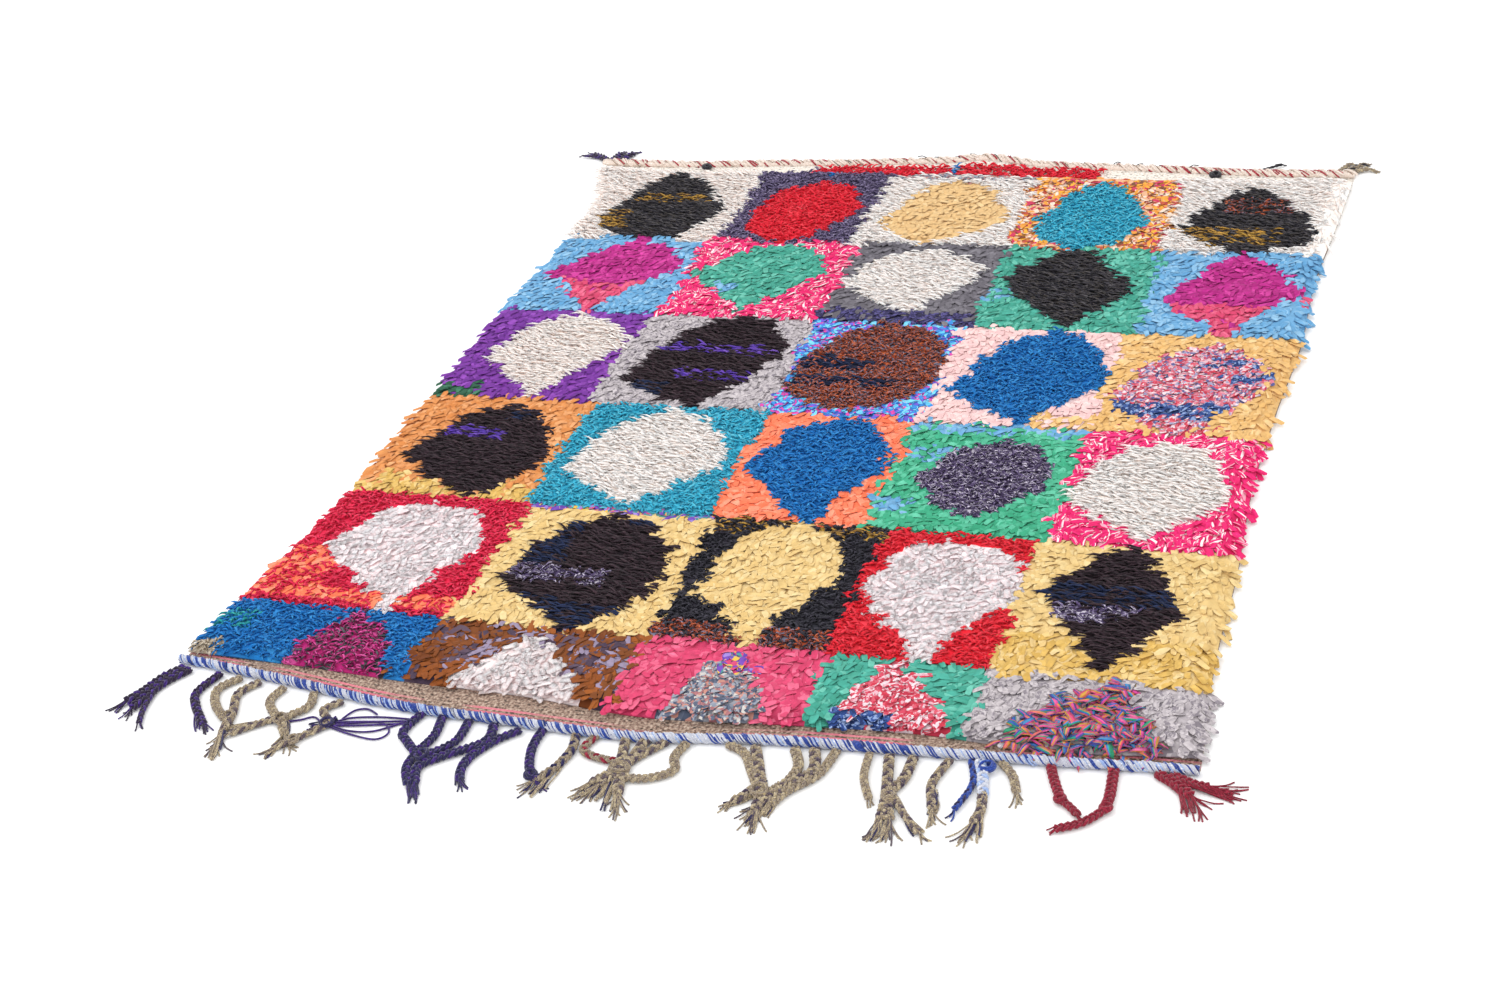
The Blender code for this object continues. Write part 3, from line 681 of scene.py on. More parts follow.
Tuft = namedtuple("Tuft", "along height width thick")
RAG_TUFT = (
    Tuft(0.000, 0.000, 0.000, 0.0),
    Tuft(0.0035, 0.0030, 0.0062, 0.0014),
    Tuft(0.0115, 0.0042, 0.0086, 0.0010),
    Tuft(0.0205, 0.0036, 0.0074, 0.0007),
    Tuft(0.0218, 0.0032, 0.000, 0.0),
)
YARN_TUFT = (
    Tuft(0.000, 0.000, 0.000, 0.0),
    Tuft(0.0030, 0.0042, 0.0034, 0.0028),
    Tuft(0.0090, 0.0062, 0.0030, 0.0024),
    Tuft(0.0150, 0.0048, 0.000, 0.0),
)
STRAND_TUFT = (
    Tuft(0.000, 0.000, 0.000, 0.0),
    Tuft(0.0040, 0.0040, 0.0070, 0.0022),
    Tuft(0.0120, 0.0062, 0.0078, 0.0018),
    Tuft(0.0220, 0.0054, 0.0064, 0.0014),
    Tuft(0.0270, 0.0038, 0.000, 0.0),
)
CRUMPLE = 0.0007
CUT_LANES = (0.0, 0.010, 0.016, 0.022)


def tuft_shape(name, stations, twist, curl, rise, crisp, dice):
    """One tuft: a flat-topped strip with a soft underside, closed to a point at its root and its end."""
    bm = bmesh.new()
    chart = bm.loops.layers.uv.new("cut")
    rings = []
    for i, station in enumerate(stations):
        share = i / (len(stations) - 1)
        turn = twist * (share - 0.3)
        crumple = CRUMPLE if crisp else 0.0
        bent = curl * share * share + dice.normal(0, crumple)
        middle = Vector((station.along, bent, station.height * rise + dice.normal(0, 0.5 * crumple)))
        if station.width == 0:
            rings.append([bm.verts.new(middle)] * 3)
            continue
        half, thick = 0.5 * station.width * dice.uniform(0.85, 1.15), station.thick
        ring = []
        under = dice.uniform(-0.4, 0.4) * half
        for off, up in ((-half, 0.3 * thick), (half, 0.3 * thick), (under, -0.7 * thick)):
            turned = Vector((0, off * cos(turn) - up * sin(turn), off * sin(turn) + up * cos(turn)))
            ring.append(bm.verts.new(middle + turned))
        rings.append(ring)
    for i, (one, two) in enumerate(zip(rings, rings[1:])):
        start, stop = stations[i].along, stations[i + 1].along + 0.002
        for k in range(3):
            j = (k + 1) % 3
            low, high = CUT_LANES[k], CUT_LANES[k + 1]
            corners = [(one[k], low, start), (one[j], high, start), (two[j], high, stop), (two[k], low, stop)]
            seen, kept = set(), []
            for corner in corners:
                if corner[0] not in seen:
                    seen.add(corner[0])
                    kept.append(corner)
            face = bm.faces.new([corner[0] for corner in kept])
            face.smooth = True
            for loop, corner in zip(face.loops, kept):
                loop[chart].uv = (corner[1] / BOLT_SIZE, corner[2] / BOLT_SIZE)
        for k in (0, 1):
            fold = bm.edges.get((one[k], two[k])) if crisp else None
            if fold:
                fold.smooth = False
    bmesh.ops.recalc_face_normals(bm, faces=bm.faces)
    mesh = bpy.data.meshes.new(name)
    bm.to_mesh(mesh)
    bm.free()
    return bpy.data.objects.new(name, mesh)


def tuft_box(name, stations, count, spread, crisp, seed):
    """A box of differently bent tufts for the knotter to pick from."""
    dice = np.random.default_rng(seed)
    box = bpy.data.collections.new(name)
    for i in range(count):
        twist, curl, rise = dice.uniform(-1, 1) * spread, dice.uniform(-0.006, 0.006), dice.uniform(0.85, 1.15)
        box.objects.link(tuft_shape(f"{name}-{i}", stations, twist, curl, rise, crisp, dice))
    return box


rag_box = tuft_box("rag tufts", RAG_TUFT, 16, 0.5, True, 11)
yarn_box = tuft_box("yarn tufts", YARN_TUFT, 5, 1.0, False, 12)
strand_box = tuft_box("strand tufts", STRAND_TUFT, 8, 1.0, False, 13)


def knotting_tree():
    """Geometry Nodes that set a tuft on each knot point, lay it over, dye it and map it to its bolt."""
    tree = bpy.data.node_groups.new("knotted tufts", "GeometryNodeTree")
    face = tree.interface
    face.new_socket("Geometry", in_out="INPUT", socket_type="NodeSocketGeometry")
    for label, kind, value in (
        ("Tufts", "NodeSocketCollection", None),
        ("Length", "NodeSocketFloat", 1.0),
        ("Uneven length", "NodeSocketFloat", 0.2),
        ("Uneven lean", "NodeSocketFloat", 0.3),
        ("Lowest", "NodeSocketFloat", 0.0008),
        ("Seed", "NodeSocketInt", 1),
    ):
        socket = face.new_socket(label, in_out="INPUT", socket_type=kind)
        if value is not None:
            socket.default_value = value
    face.new_socket("Geometry", in_out="OUTPUT", socket_type="NodeSocketGeometry")
    given = add_node(tree, "NodeGroupInput")
    out = add_node(tree, "NodeGroupOutput")

    def named(name, kind):
        node = add_node(tree, "GeometryNodeInputNamedAttribute", data_type=kind, inputs={"Name": name})
        return node.outputs["Attribute"]

    def random_between(low, high, salt):
        seed = add_maths(tree, "ADD", given.outputs["Seed"], float(salt))
        node = add_node(tree, "FunctionNodeRandomValue", data_type="FLOAT", links={"Seed": seed})
        for socket, value in ((node.inputs[2], low), (node.inputs[3], high)):
            if isinstance(value, float):
                socket.default_value = value
            else:
                tree.links.new(value, socket)
        return node.outputs[1]

    picked = add_node(
        tree, "GeometryNodeCollectionInfo", inputs={"Separate Children": True, "Reset Children": True},
        links={"Collection": given.outputs["Tufts"]},
    )
    uneven = given.outputs["Uneven lean"]
    less = add_maths(tree, "MULTIPLY", uneven, -1.0)
    lean = add_node(
        tree, "ShaderNodeCombineXYZ",
        links={
            "X": random_between(less, uneven, 1),
            "Y": add_maths(tree, "ADD", named("droop", "FLOAT"), random_between(less, uneven, 2)),
            "Z": named("yaw", "FLOAT"),
        },
    )
    longer = add_maths(tree, "MULTIPLY", random_between(-1.0, 1.0, 3), given.outputs["Uneven length"])
    length = add_maths(tree, "MULTIPLY", add_maths(tree, "ADD", longer, 1.0), given.outputs["Length"])
    size = add_node(
        tree, "ShaderNodeCombineXYZ",
        links={"X": length, "Y": random_between(0.8, 1.2, 4), "Z": named("rise", "FLOAT")},
    )
    index = add_node(
        tree, "FunctionNodeRandomValue", data_type="INT", inputs={4: 0, 5: 97},
        links={"Seed": given.outputs["Seed"]},
    )
    knots = add_node(
        tree, "GeometryNodeInstanceOnPoints", inputs={"Pick Instance": True},
        links={
            "Points": given.outputs["Geometry"],
            "Instance": picked.outputs[0],
            "Instance Index": index.outputs[2],
            "Rotation": lean.outputs[0],
            "Scale": size.outputs[0],
        },
    )
    real = add_node(tree, "GeometryNodeRealizeInstances", links={0: knots.outputs[0]})
    place = add_node(tree, "GeometryNodeInputPosition")
    split = add_node(tree, "ShaderNodeSeparateXYZ", links={0: place.outputs[0]}).outputs
    lifted = add_maths(tree, "MAXIMUM", split["Z"], given.outputs["Lowest"])
    rejoined = add_node(tree, "ShaderNodeCombineXYZ", links={"X": split["X"], "Y": split["Y"], "Z": lifted})
    settled = add_node(
        tree, "GeometryNodeSetPosition", links={"Geometry": real.outputs[0], "Position": rejoined.outputs[0]}
    )
    cut = add_node(
        tree, "ShaderNodeVectorMath", operation="ADD",
        links={0: named("cut", "FLOAT_VECTOR"), 1: named("spot", "FLOAT_VECTOR")},
    )
    mapped = add_node(
        tree, "GeometryNodeStoreNamedAttribute", data_type="FLOAT2", domain="CORNER", inputs={"Name": "OFBake"},
        links={"Geometry": settled.outputs[0], "Value": cut.outputs[0]},
    )
    last = mapped.outputs[0]
    for i, name in enumerate(DYE_NAMES):
        chosen = add_node(
            tree, "FunctionNodeCompare", data_type="INT", operation="EQUAL", inputs={3: i},
            links={2: named("dye", "INT")},
        )
        dyed = add_node(
            tree, "GeometryNodeSetMaterial", inputs={"Material": dye_materials[name]},
            links={"Geometry": last, "Selection": chosen.outputs[0]},
        )
        last = dyed.outputs[0]
    for name in ("cut", "spot", "dye", "yaw", "droop", "rise"):
        bare = add_node(tree, "GeometryNodeRemoveAttribute", inputs={"Name": name}, links={"Geometry": last})
        last = bare.outputs[0]
    tree.links.new(last, out.inputs[0])
    return tree


def run_tree(tree, holder, values):
    """Evaluates a tree on an object and returns the plain mesh."""
    modifier = holder.modifiers.new(tree.name, "NODES")
    modifier.node_group = tree
    for item in tree.interface.items_tree:
        if item.in_out == "INPUT" and item.name in values:
            modifier[item.identifier] = values[item.name]
    graph = bpy.context.evaluated_depsgraph_get()
    made = holder.evaluated_get(graph)
    mesh = bpy.data.meshes.new_from_object(made, preserve_all_data_layers=True, depsgraph=graph)
    holder.modifiers.remove(modifier)
    return mesh


ON_FLOOR = 0.0003


def join_meshes(name, meshes):
    """One piece from several meshes. What would reach into the floor lies on it."""
    parts = [bpy.data.objects.new(name, mesh) for mesh in meshes]
    for part in parts:
        bpy.context.scene.collection.objects.link(part)
    with bpy.context.temp_override(active_object=parts[0], selected_editable_objects=parts):
        bpy.ops.object.join()
    for point in parts[0].data.vertices:
        point.co.z = max(point.co.z, ON_FLOOR)
    parts[0].data.name = parts[0].name
    return parts[0]


# How each make is knotted: the pitch across and along the rug, its tufts, their length, how uneven their
# lengths and leans are, and how far off its knot a tuft's middle lies.
Sowing = namedtuple("Sowing", "make across along box length uneven lean lies_off")
SOWINGS = (
    Sowing("rag", 0.0064, 0.0094, rag_box, 1.0, 0.28, 0.08, 0.013),
    Sowing("yarn", 0.0044, 0.0056, yarn_box, 1.0, 0.25, 0.28, 0.008),
    Sowing("combed", 0.0048, 0.0066, yarn_box, 1.6, 0.35, 0.15, 0.014),
    Sowing("curly", 0.0054, 0.0076, strand_box, 1.0, 0.30, 0.25, 0.015),
)
RIM_MARGIN = 0.0015
RIM_HANG = 0.006
NEAR_OVERHANG = {"rag": 0.002, "yarn": 0.002, "combed": 0.002, "curly": 0.016}
SOWN_REACH = 0.68
ROOT_SINK = 0.003
# Where a tuft is cut from its bolt: how far inside the bolt's square, and how much room the cut has there.
SPOT_MARGIN = 0.004
SPOT_ROOM = 1 / BOLTS_A_SIDE - 0.044
CLUMP_SPAN = BOLT_SIZE * SPOT_ROOM
# Which way each make falls: its middle way, how widely single tufts swing, and how whole patches stray.
TO_NEAR_END = -pi / 2
Fall = namedtuple("Fall", "way swing stray patch lane")
FALLS = {
    "rag": Fall(TO_NEAR_END - 0.3, 0.75 * pi, 1.0, 0.10, 7.7),
    "yarn": Fall(TO_NEAR_END, 1.5 * pi, 0.0, 0.10, 7.7),
    "combed": Fall(pi, 0.35 * pi, 0.4, 0.08, 4.4),
    "curly": Fall(TO_NEAR_END, 1.7 * pi, 0.0, 0.10, 7.7),
}


def lie_of(x, y, make, swing):
    """Which way a tuft falls (yaw) and how far it droops; at a side rim it turns out and hangs over it."""
    fall = FALLS[make]
    yaw = fall.way + (swing - 0.5) * fall.swing + fall.stray * wander(x, y, fall.patch, fall.lane)
    left, right = x - side(LEFT_SIDE, y), side(RIGHT_SIDE, y) - x
    droop = 0.0
    if min(left, right) < RIM_FALL and (make != "combed" or swing < 0.4):
        share = 1 - min(left, right) / RIM_FALL
        turn = -1 if left < right else 1
        yaw = TO_NEAR_END + turn * 0.42 * pi * share + (swing - 0.5) * 1.7
        droop = 0.40 * share
    return yaw, droop


def sow_knots(sowing, seed):
    """Knot points in rows over the pile field, with the dye, the lie and the bolt spot of each."""
    dice = np.random.default_rng(seed)
    rows = {}
    y = min(NEAR_PILE)
    while y < max(FAR_EDGE):
        x = -SOWN_REACH + dice.uniform(0, sowing.across)
        while x < SOWN_REACH:
            kx = x + dice.uniform(-0.3, 0.3) * sowing.across
            ky = y + dice.uniform(-0.35, 0.35) * sowing.along
            x += sowing.across
            chance, swing, spot_u, spot_v = dice.uniform(0, 1, 4)
            over = RED_STRIP_OVER if RED_STRIP[0] < kx < RED_STRIP[1] else 0.0
            if not end(NEAR_PILE, kx) < ky < end(FAR_PILE, kx) + over:
                continue
            yaw, droop = lie_of(kx, ky, sowing.make, swing)
            lx, ly = kx + sowing.lies_off * cos(yaw), ky + sowing.lies_off * sin(yaw)
            left, right, hang = side(LEFT_SIDE, ly), side(RIGHT_SIDE, ly), RIM_HANG * spot_u
            if not left + RIM_MARGIN < kx < right - RIM_MARGIN or not left - hang < lx < right + hang:
                continue
            if ly < end(NEAR_PILE, lx) - NEAR_OVERHANG[sowing.make]:
                continue
            dye, row = charted_dye(lx, ly, chance)
            if DYES[dye].make != sowing.make:
                continue
            if MIX_PATCH[DYES[dye].mix].together:
                spot_u, spot_v = kx / CLUMP_SPAN % 1, ky / CLUMP_SPAN % 1
            rows.setdefault(row, []).append((kx, ky, dye, yaw, droop, spot_u, spot_v))
        y += sowing.along
    return rows


def knot_points(name, knots, bolts, dice):
    """The knots as loose points that carry what the tree reads."""
    mesh = bpy.data.meshes.new(name)
    mesh.from_pydata([(x, y, root_height(x, y) - ROOT_SINK) for x, y, *_ in knots], [], [])
    spots = []
    for _, _, dye, _, _, spot_u, spot_v in knots:
        place = bolts.index(dye)
        spots += [(place % BOLTS_A_SIDE) / BOLTS_A_SIDE + SPOT_MARGIN + spot_u * SPOT_ROOM]
        spots += [(place // BOLTS_A_SIDE) / BOLTS_A_SIDE + SPOT_MARGIN + spot_v * SPOT_ROOM, 0.0]
    for label, kind, key, values in (
        ("dye", "INT", "value", [DYE_NAMES.index(knot[2]) for knot in knots]),
        ("yaw", "FLOAT", "value", [knot[3] for knot in knots]),
        ("droop", "FLOAT", "value", [knot[4] for knot in knots]),
        ("rise", "FLOAT", "value", list(dice.uniform(0.90, 1.15, len(knots)))),
        ("spot", "FLOAT_VECTOR", "vector", spots),
    ):
        mesh.attributes.new(label, kind, "POINT").data.foreach_set(key, values)
    return bpy.data.objects.new(name, mesh)


roots = build_roots()
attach(roots, "root")

tree = knotting_tree()
sown = [sow_knots(sowing, 40 + i) for i, sowing in enumerate(SOWINGS)]
for row in range(len(CHART)):
    bolts = sorted({knot[2] for knots in sown for knot in knots.get(row, [])})
    meshes = []
    for i, (sowing, knots) in enumerate(zip(SOWINGS, sown)):
        if row not in knots:
            continue
        holder = knot_points(f"knots-{row}-{i}", knots[row], bolts, np.random.default_rng(70 + row))
        bpy.context.scene.collection.objects.link(holder)
        values = {"Tufts": sowing.box, "Length": sowing.length, "Seed": 5 + 10 * row + i}
        values.update({"Uneven length": sowing.uneven, "Uneven lean": sowing.lean})
        meshes.append(run_tree(tree, holder, values))
        bpy.data.objects.remove(holder)
    piece = join_meshes(f"pile-row-{row + 1}", meshes)
    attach(piece, "root")


# The near end cord: a warp-end cord whipped with blue and white yarns laid side by side.
NEAR_CORD_SEAT = 0.0064
NEAR_CORD_RADIUS = 0.007
NEAR_CORE_THICK = 0.0048
WHIP_PITCH = 0.024
WHIP_LANES = 12
WHIP_THICK = (0.0009, 0.0013)
WHIP_REACH = (0.0044, 0.0061)
WHIP_YARNS = ("white yarn", "blue yarn", "pale blue yarn")
WHIP_SHARES = (0.44, 0.42, 0.14)
# Short turns that stand out over the whipping.
OVER_PITCH = 0.026
OVER_THICK = 0.0013
OVER_REACH = 0.0062
OVER_COUNTS = {"blue yarn": 40, "white yarn": 40, "pale blue yarn": 12}
PATH_STEP = 0.008
YARN_COLOURS = {
    "white yarn": ("d4d4dc", "b4b9c8", "e4e4e9"),
    "blue yarn": ("2a46a0", "1c3684", "4a66b4"),
    "pale blue yarn": ("a9bce0", "8aa2d2", "c8d4ea"),
    "cream yarn": ("ecddd2", "dac8ba", "f4eae2"),
    "brown yarn": ("a88c76", "866a58", "bea48e"),
    "red yarn": ("b02434", "8c1a28", "cc4450"),
    "tan yarn": ("b4a482", "54464e", "a2906e", "3c3248", "b8a88a", "6e5e58", "a6946f"),
    "light tan yarn": ("b09e7c", "cabb98", "6a5c56", "bcab88", "54464e", "c6b592"),
    "dark tan yarn": ("3c3248", "5e5056", "2c2440", "7a6a60", "342a46"),
    "navy yarn": ("2a2450", "1c1838", "3c3470"),
    "violet yarn": ("3c2070", "2a1650", "54309a"),
    "plum yarn": ("2a1c38", "1e142a", "3c2a50"),
    "crimson yarn": ("8e1a30", "6e1226", "aa2c44"),
    "charcoal yarn": ("2c2a30", "1e1c22", "403e46"),
}


def spun_yarn(name):
    """A yarn's material: its fibres' shades mixed along it, with a fine fibrous relief."""
    material, tree, shader = new_material(name, 0.9, 0.3)
    place = add_node(tree, "ShaderNodeTexCoord").outputs["Object"]
    fibres = add_range(tree, add_noise(tree, place, 380.0, 2.0), 0.3, 0.7)
    shades = add_node(tree, "ShaderNodeValToRGB", links={0: fibres})
    ramp_colours(shades, YARN_COLOURS[name], "tan" not in name)
    tree.links.new(shades.outputs["Color"], shader.inputs["Base Color"])
    fuzz = add_bump(tree, add_noise(tree, place, 1600.0, 2.0), 0.5, 0.0005)
    tree.links.new(fuzz, shader.inputs["Normal"])
    return material


yarn_materials = {name: spun_yarn(name) for name in YARN_COLOURS}


def laid_yarn_tree():
    """Geometry Nodes that lay a round yarn along each path, swinging sideways and up and down as it goes."""
    tree = bpy.data.node_groups.new("laid yarn", "GeometryNodeTree")
    face = tree.interface
    face.new_socket("Geometry", in_out="INPUT", socket_type="NodeSocketGeometry")
    for label, value in (
        ("Side reach", 0.0),
        ("Up reach", 0.0),
        ("Pitch", 0.02),
        ("Phase", 0.0),
        ("Up turns", 1.0),
        ("Up phase", 0.0),
        ("Thickness", 0.001),
        ("Step", 0.003),
    ):
        face.new_socket(label, in_out="INPUT", socket_type="NodeSocketFloat").default_value = value
    face.new_socket("Sides", in_out="INPUT", socket_type="NodeSocketInt").default_value = 5
    face.new_socket("Yarn", in_out="INPUT", socket_type="NodeSocketMaterial")
    face.new_socket("Geometry", in_out="OUTPUT", socket_type="NodeSocketGeometry")
    given = add_node(tree, "NodeGroupInput")
    out = add_node(tree, "NodeGroupOutput")

    def wave(angle):
        return add_node(tree, "ShaderNodeMath", operation="SINE", links={0: angle}).outputs[0]

    def vectors(operation, links, inputs=()):
        node = add_node(tree, "ShaderNodeVectorMath", operation=operation, links=links, inputs=inputs)
        return node.outputs[0]

    evenly = add_node(
        tree, "GeometryNodeResampleCurve", mode="LENGTH",
        links={"Curve": given.outputs["Geometry"], "Length": given.outputs["Step"]},
    )
    along = add_node(tree, "GeometryNodeSplineParameter").outputs["Length"]
    turns = add_maths(tree, "MULTIPLY", add_maths(tree, "DIVIDE", along, given.outputs["Pitch"]), 2 * pi)
    angle = add_maths(tree, "ADD", turns, given.outputs["Phase"])
    up_turns = add_maths(tree, "MULTIPLY", angle, given.outputs["Up turns"])
    up_angle = add_maths(tree, "ADD", up_turns, given.outputs["Up phase"])
    swing = add_maths(tree, "MULTIPLY", wave(angle), given.outputs["Side reach"])
    lift = add_maths(tree, "MULTIPLY", wave(up_angle), given.outputs["Up reach"])
    run = add_node(tree, "GeometryNodeInputTangent").outputs[0]
    across = vectors("NORMALIZE", {0: vectors("CROSS_PRODUCT", {0: run}, {1: (0, 0, 1)})})
    upward = vectors("CROSS_PRODUCT", {0: across, 1: run})
    sideways = vectors("SCALE", {0: across, "Scale": swing})
    offset = vectors("ADD", {0: sideways, 1: vectors("SCALE", {0: upward, "Scale": lift})})
    laid = add_node(tree, "GeometryNodeSetPosition", links={"Geometry": evenly.outputs[0], "Offset": offset})
    ring = add_node(
        tree, "GeometryNodeCurvePrimitiveCircle",
        links={"Resolution": given.outputs["Sides"], "Radius": given.outputs["Thickness"]},
    )
    round_yarn = add_node(
        tree, "GeometryNodeCurveToMesh", inputs={"Fill Caps": True},
        links={"Curve": laid.outputs[0], "Profile Curve": ring.outputs[0]},
    )
    soft = add_node(tree, "GeometryNodeSetShadeSmooth", links={0: round_yarn.outputs[0]})
    real = add_node(tree, "GeometryNodeRealizeInstances", links={0: soft.outputs[0]})
    dyed = add_node(
        tree, "GeometryNodeSetMaterial", links={"Geometry": real.outputs[0], "Material": given.outputs["Yarn"]}
    )
    tree.links.new(dyed.outputs[0], out.inputs[0])
    return tree


laid_yarn = laid_yarn_tree()


def yarn_along(paths, yarn, thickness, **values):
    """A mesh of one yarn laid along each path; a path is a list of (x, y, z, share of thickness)."""
    curve = bpy.data.curves.new("path", "CURVE")
    curve.dimensions = "3D"
    for path in paths:
        spline = curve.splines.new("POLY")
        spline.points.add(len(path) - 1)
        for point, (x, y, z, share) in zip(spline.points, path):
            point.co = (x, y, z, 1)
            point.radius = share
    holder = link_piece("path", curve)
    sockets = {key.replace("_", " "): value for key, value in values.items()}
    mesh = run_tree(laid_yarn, holder, {"Yarn": yarn_materials[yarn], "Thickness": thickness, **sockets})
    bpy.data.objects.remove(holder)
    return mesh


def edge_corners(values):
    """The x of an end edge's two corners."""
    return side(LEFT_SIDE, end(values, END_FROM)), side(RIGHT_SIDE, end(values, END_TO))


def edge_at(values, x):
    """The y of an end edge of the cloth at one x."""
    left, right = edge_corners(values)
    return smooth_between(values, (x - left) / (right - left))


def edge_path(values, seat, height, left=None, right=None, step=PATH_STEP):
    """The middle of a cord seated against an end edge of the cloth."""
    corners = edge_corners(values)
    left = corners[0] if left is None else left
    right = corners[1] if right is None else right
    steps = max(2, round((right - left) / step))
    xs = [left + (right - left) * i / steps for i in range(steps + 1)]
    return [(x, edge_at(values, x) + seat, height + ripple(x, edge_at(values, x)), 1.0) for x in xs]


near_path = edge_path(NEAR_EDGE, -NEAR_CORD_SEAT, NEAR_CORD_RADIUS)
whip_dice = np.random.default_rng(91)
near_parts = [yarn_along([near_path], "navy yarn", NEAR_CORE_THICK, Step=0.02, Sides=8)]
for lane in range(WHIP_LANES):
    start = 0
    while start < len(near_path) - 2:
        stop = min(len(near_path) - 1, start + int(whip_dice.integers(3, 11)))
        yarn = str(whip_dice.choice(WHIP_YARNS, p=WHIP_SHARES))
        phase = 2 * pi * (lane / WHIP_LANES + start * PATH_STEP / WHIP_PITCH)
        reach, thick = whip_dice.uniform(*WHIP_REACH), whip_dice.uniform(*WHIP_THICK)
        near_parts.append(
            yarn_along(
                [near_path[start : stop + 1]], yarn, thick, Side_reach=reach, Up_reach=reach,
                Pitch=WHIP_PITCH, Phase=phase, Up_phase=pi / 2, Step=0.0032, Sides=4,
            )
        )
        start = stop
for yarn, count in OVER_COUNTS.items():
    over = []
    for start in whip_dice.integers(0, len(near_path) - 4, count):
        over.append(near_path[start : start + int(whip_dice.integers(2, 4))])
    phase = float(whip_dice.uniform(0, 2 * pi))
    near_parts.append(
        yarn_along(
            over, yarn, OVER_THICK, Side_reach=OVER_REACH, Up_reach=OVER_REACH,
            Pitch=OVER_PITCH, Phase=phase, Up_phase=pi / 2, Step=0.0020, Sides=4,
        )
    )
near_cord = join_meshes("near-end-cord", near_parts)
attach(near_cord, "root")
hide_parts("near-cord")


# The far end cord: a cream cord overcast along the cloth's other end, with red wraps here and there.
FAR_CORD_SEAT = 0.0054
FAR_CORD_RADIUS = 0.005
OVERCAST_IN = 0.003
OVERCAST_SEAT = FAR_CORD_SEAT - OVERCAST_IN
CORE_SEATS = (0.0056, 0.0018, -0.0014)
CORE_THICK = 0.0048
LOOSE_HEIGHT = 0.0085
LOOSE_AT = (-0.36, -0.30, -0.06, -0.03, 0.00, 0.03, 0.06, 0.09, 0.13, 0.22, 0.27, 0.31, 0.36, 0.40)
Wraps = namedtuple("Wraps", "yarn thick count start stop")
WRAPS = (
    Wraps("red yarn", 0.0015, 30, -0.67, -0.16),
    Wraps("red yarn", 0.0015, 14, -0.16, 0.36),
    Wraps("red yarn", 0.0012, 36, 0.36, 0.64),
    Wraps("brown yarn", 0.0008, 60, -0.67, 0.66),
    Wraps("charcoal yarn", 0.0007, 10, -0.40, 0.50),
    Wraps("cream yarn", 0.0024, 90, -0.67, 0.66),
)

far_path = edge_path(FAR_EDGE, OVERCAST_SEAT, FAR_CORD_RADIUS)
core_paths = [edge_path(FAR_EDGE, seat, FAR_CORD_RADIUS) for seat in CORE_SEATS]
wrap = {"Up_phase": pi / 2, "Sides": 3}
whip_dice = np.random.default_rng(92)
loose_ends = []
for x in LOOSE_AT:
    y = edge_at(FAR_EDGE, x) + 0.006
    reach, rise = whip_dice.uniform(-0.022, 0.022), whip_dice.uniform(0.001, 0.005)
    z = LOOSE_HEIGHT + ripple(x, y)
    middle = (x + 0.5 * reach, y + 0.003, z + rise, 0.9)
    loose_ends.append([(x, y, z, 1.0), middle, (x + reach, y + 0.004, z + 0.6 * rise, 0.6)])
far_parts = [
    yarn_along(core_paths, "cream yarn", CORE_THICK, Step=0.02, Sides=8),
    yarn_along(
        [far_path], "cream yarn", 0.0016, Side_reach=0.0080, Up_reach=0.0052, Pitch=0.0048, Step=0.0006, **wrap
    ),
    yarn_along(loose_ends, "charcoal yarn", 0.0009, Step=0.004, Sides=4),
]
for wraps in WRAPS:
    for i in range(wraps.count):
        x = wraps.start + (wraps.stop - wraps.start) * (i + whip_dice.uniform(0, 1)) / wraps.count
        stop = x + whip_dice.uniform(0.014, 0.026)
        run = edge_path(FAR_EDGE, OVERCAST_SEAT, FAR_CORD_RADIUS, x, stop, 0.004)
        pitch, phase = whip_dice.uniform(0.046, 0.074), whip_dice.uniform(-1.4, -0.6)
        far_parts.append(
            yarn_along(
                [run], wraps.yarn, wraps.thick, Side_reach=0.0094, Up_reach=0.0058,
                Pitch=pitch, Phase=phase, Step=0.0016, **wrap,
            )
        )
far_cord = join_meshes("far-end-cord", far_parts)
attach(far_cord, "root")
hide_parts("far-cord")


# The fringe: the warp ends of the near end, plaited in threes under the end cord and left to lie
# on the floor. Neighbouring plaits are knotted together, and their last yarns fray out loose.
PLAIT_PITCH = 0.023
PLY = 0.0024
LIE = 0.0052
PLAIT_REACH, PLAIT_RISE = 0.0042, 0.0019
FRAY_THICK = 0.0011
BUNDLE_THICK = 0.0013
LOOSE_THICK = 0.0014
KNOT_THICK = 0.0019
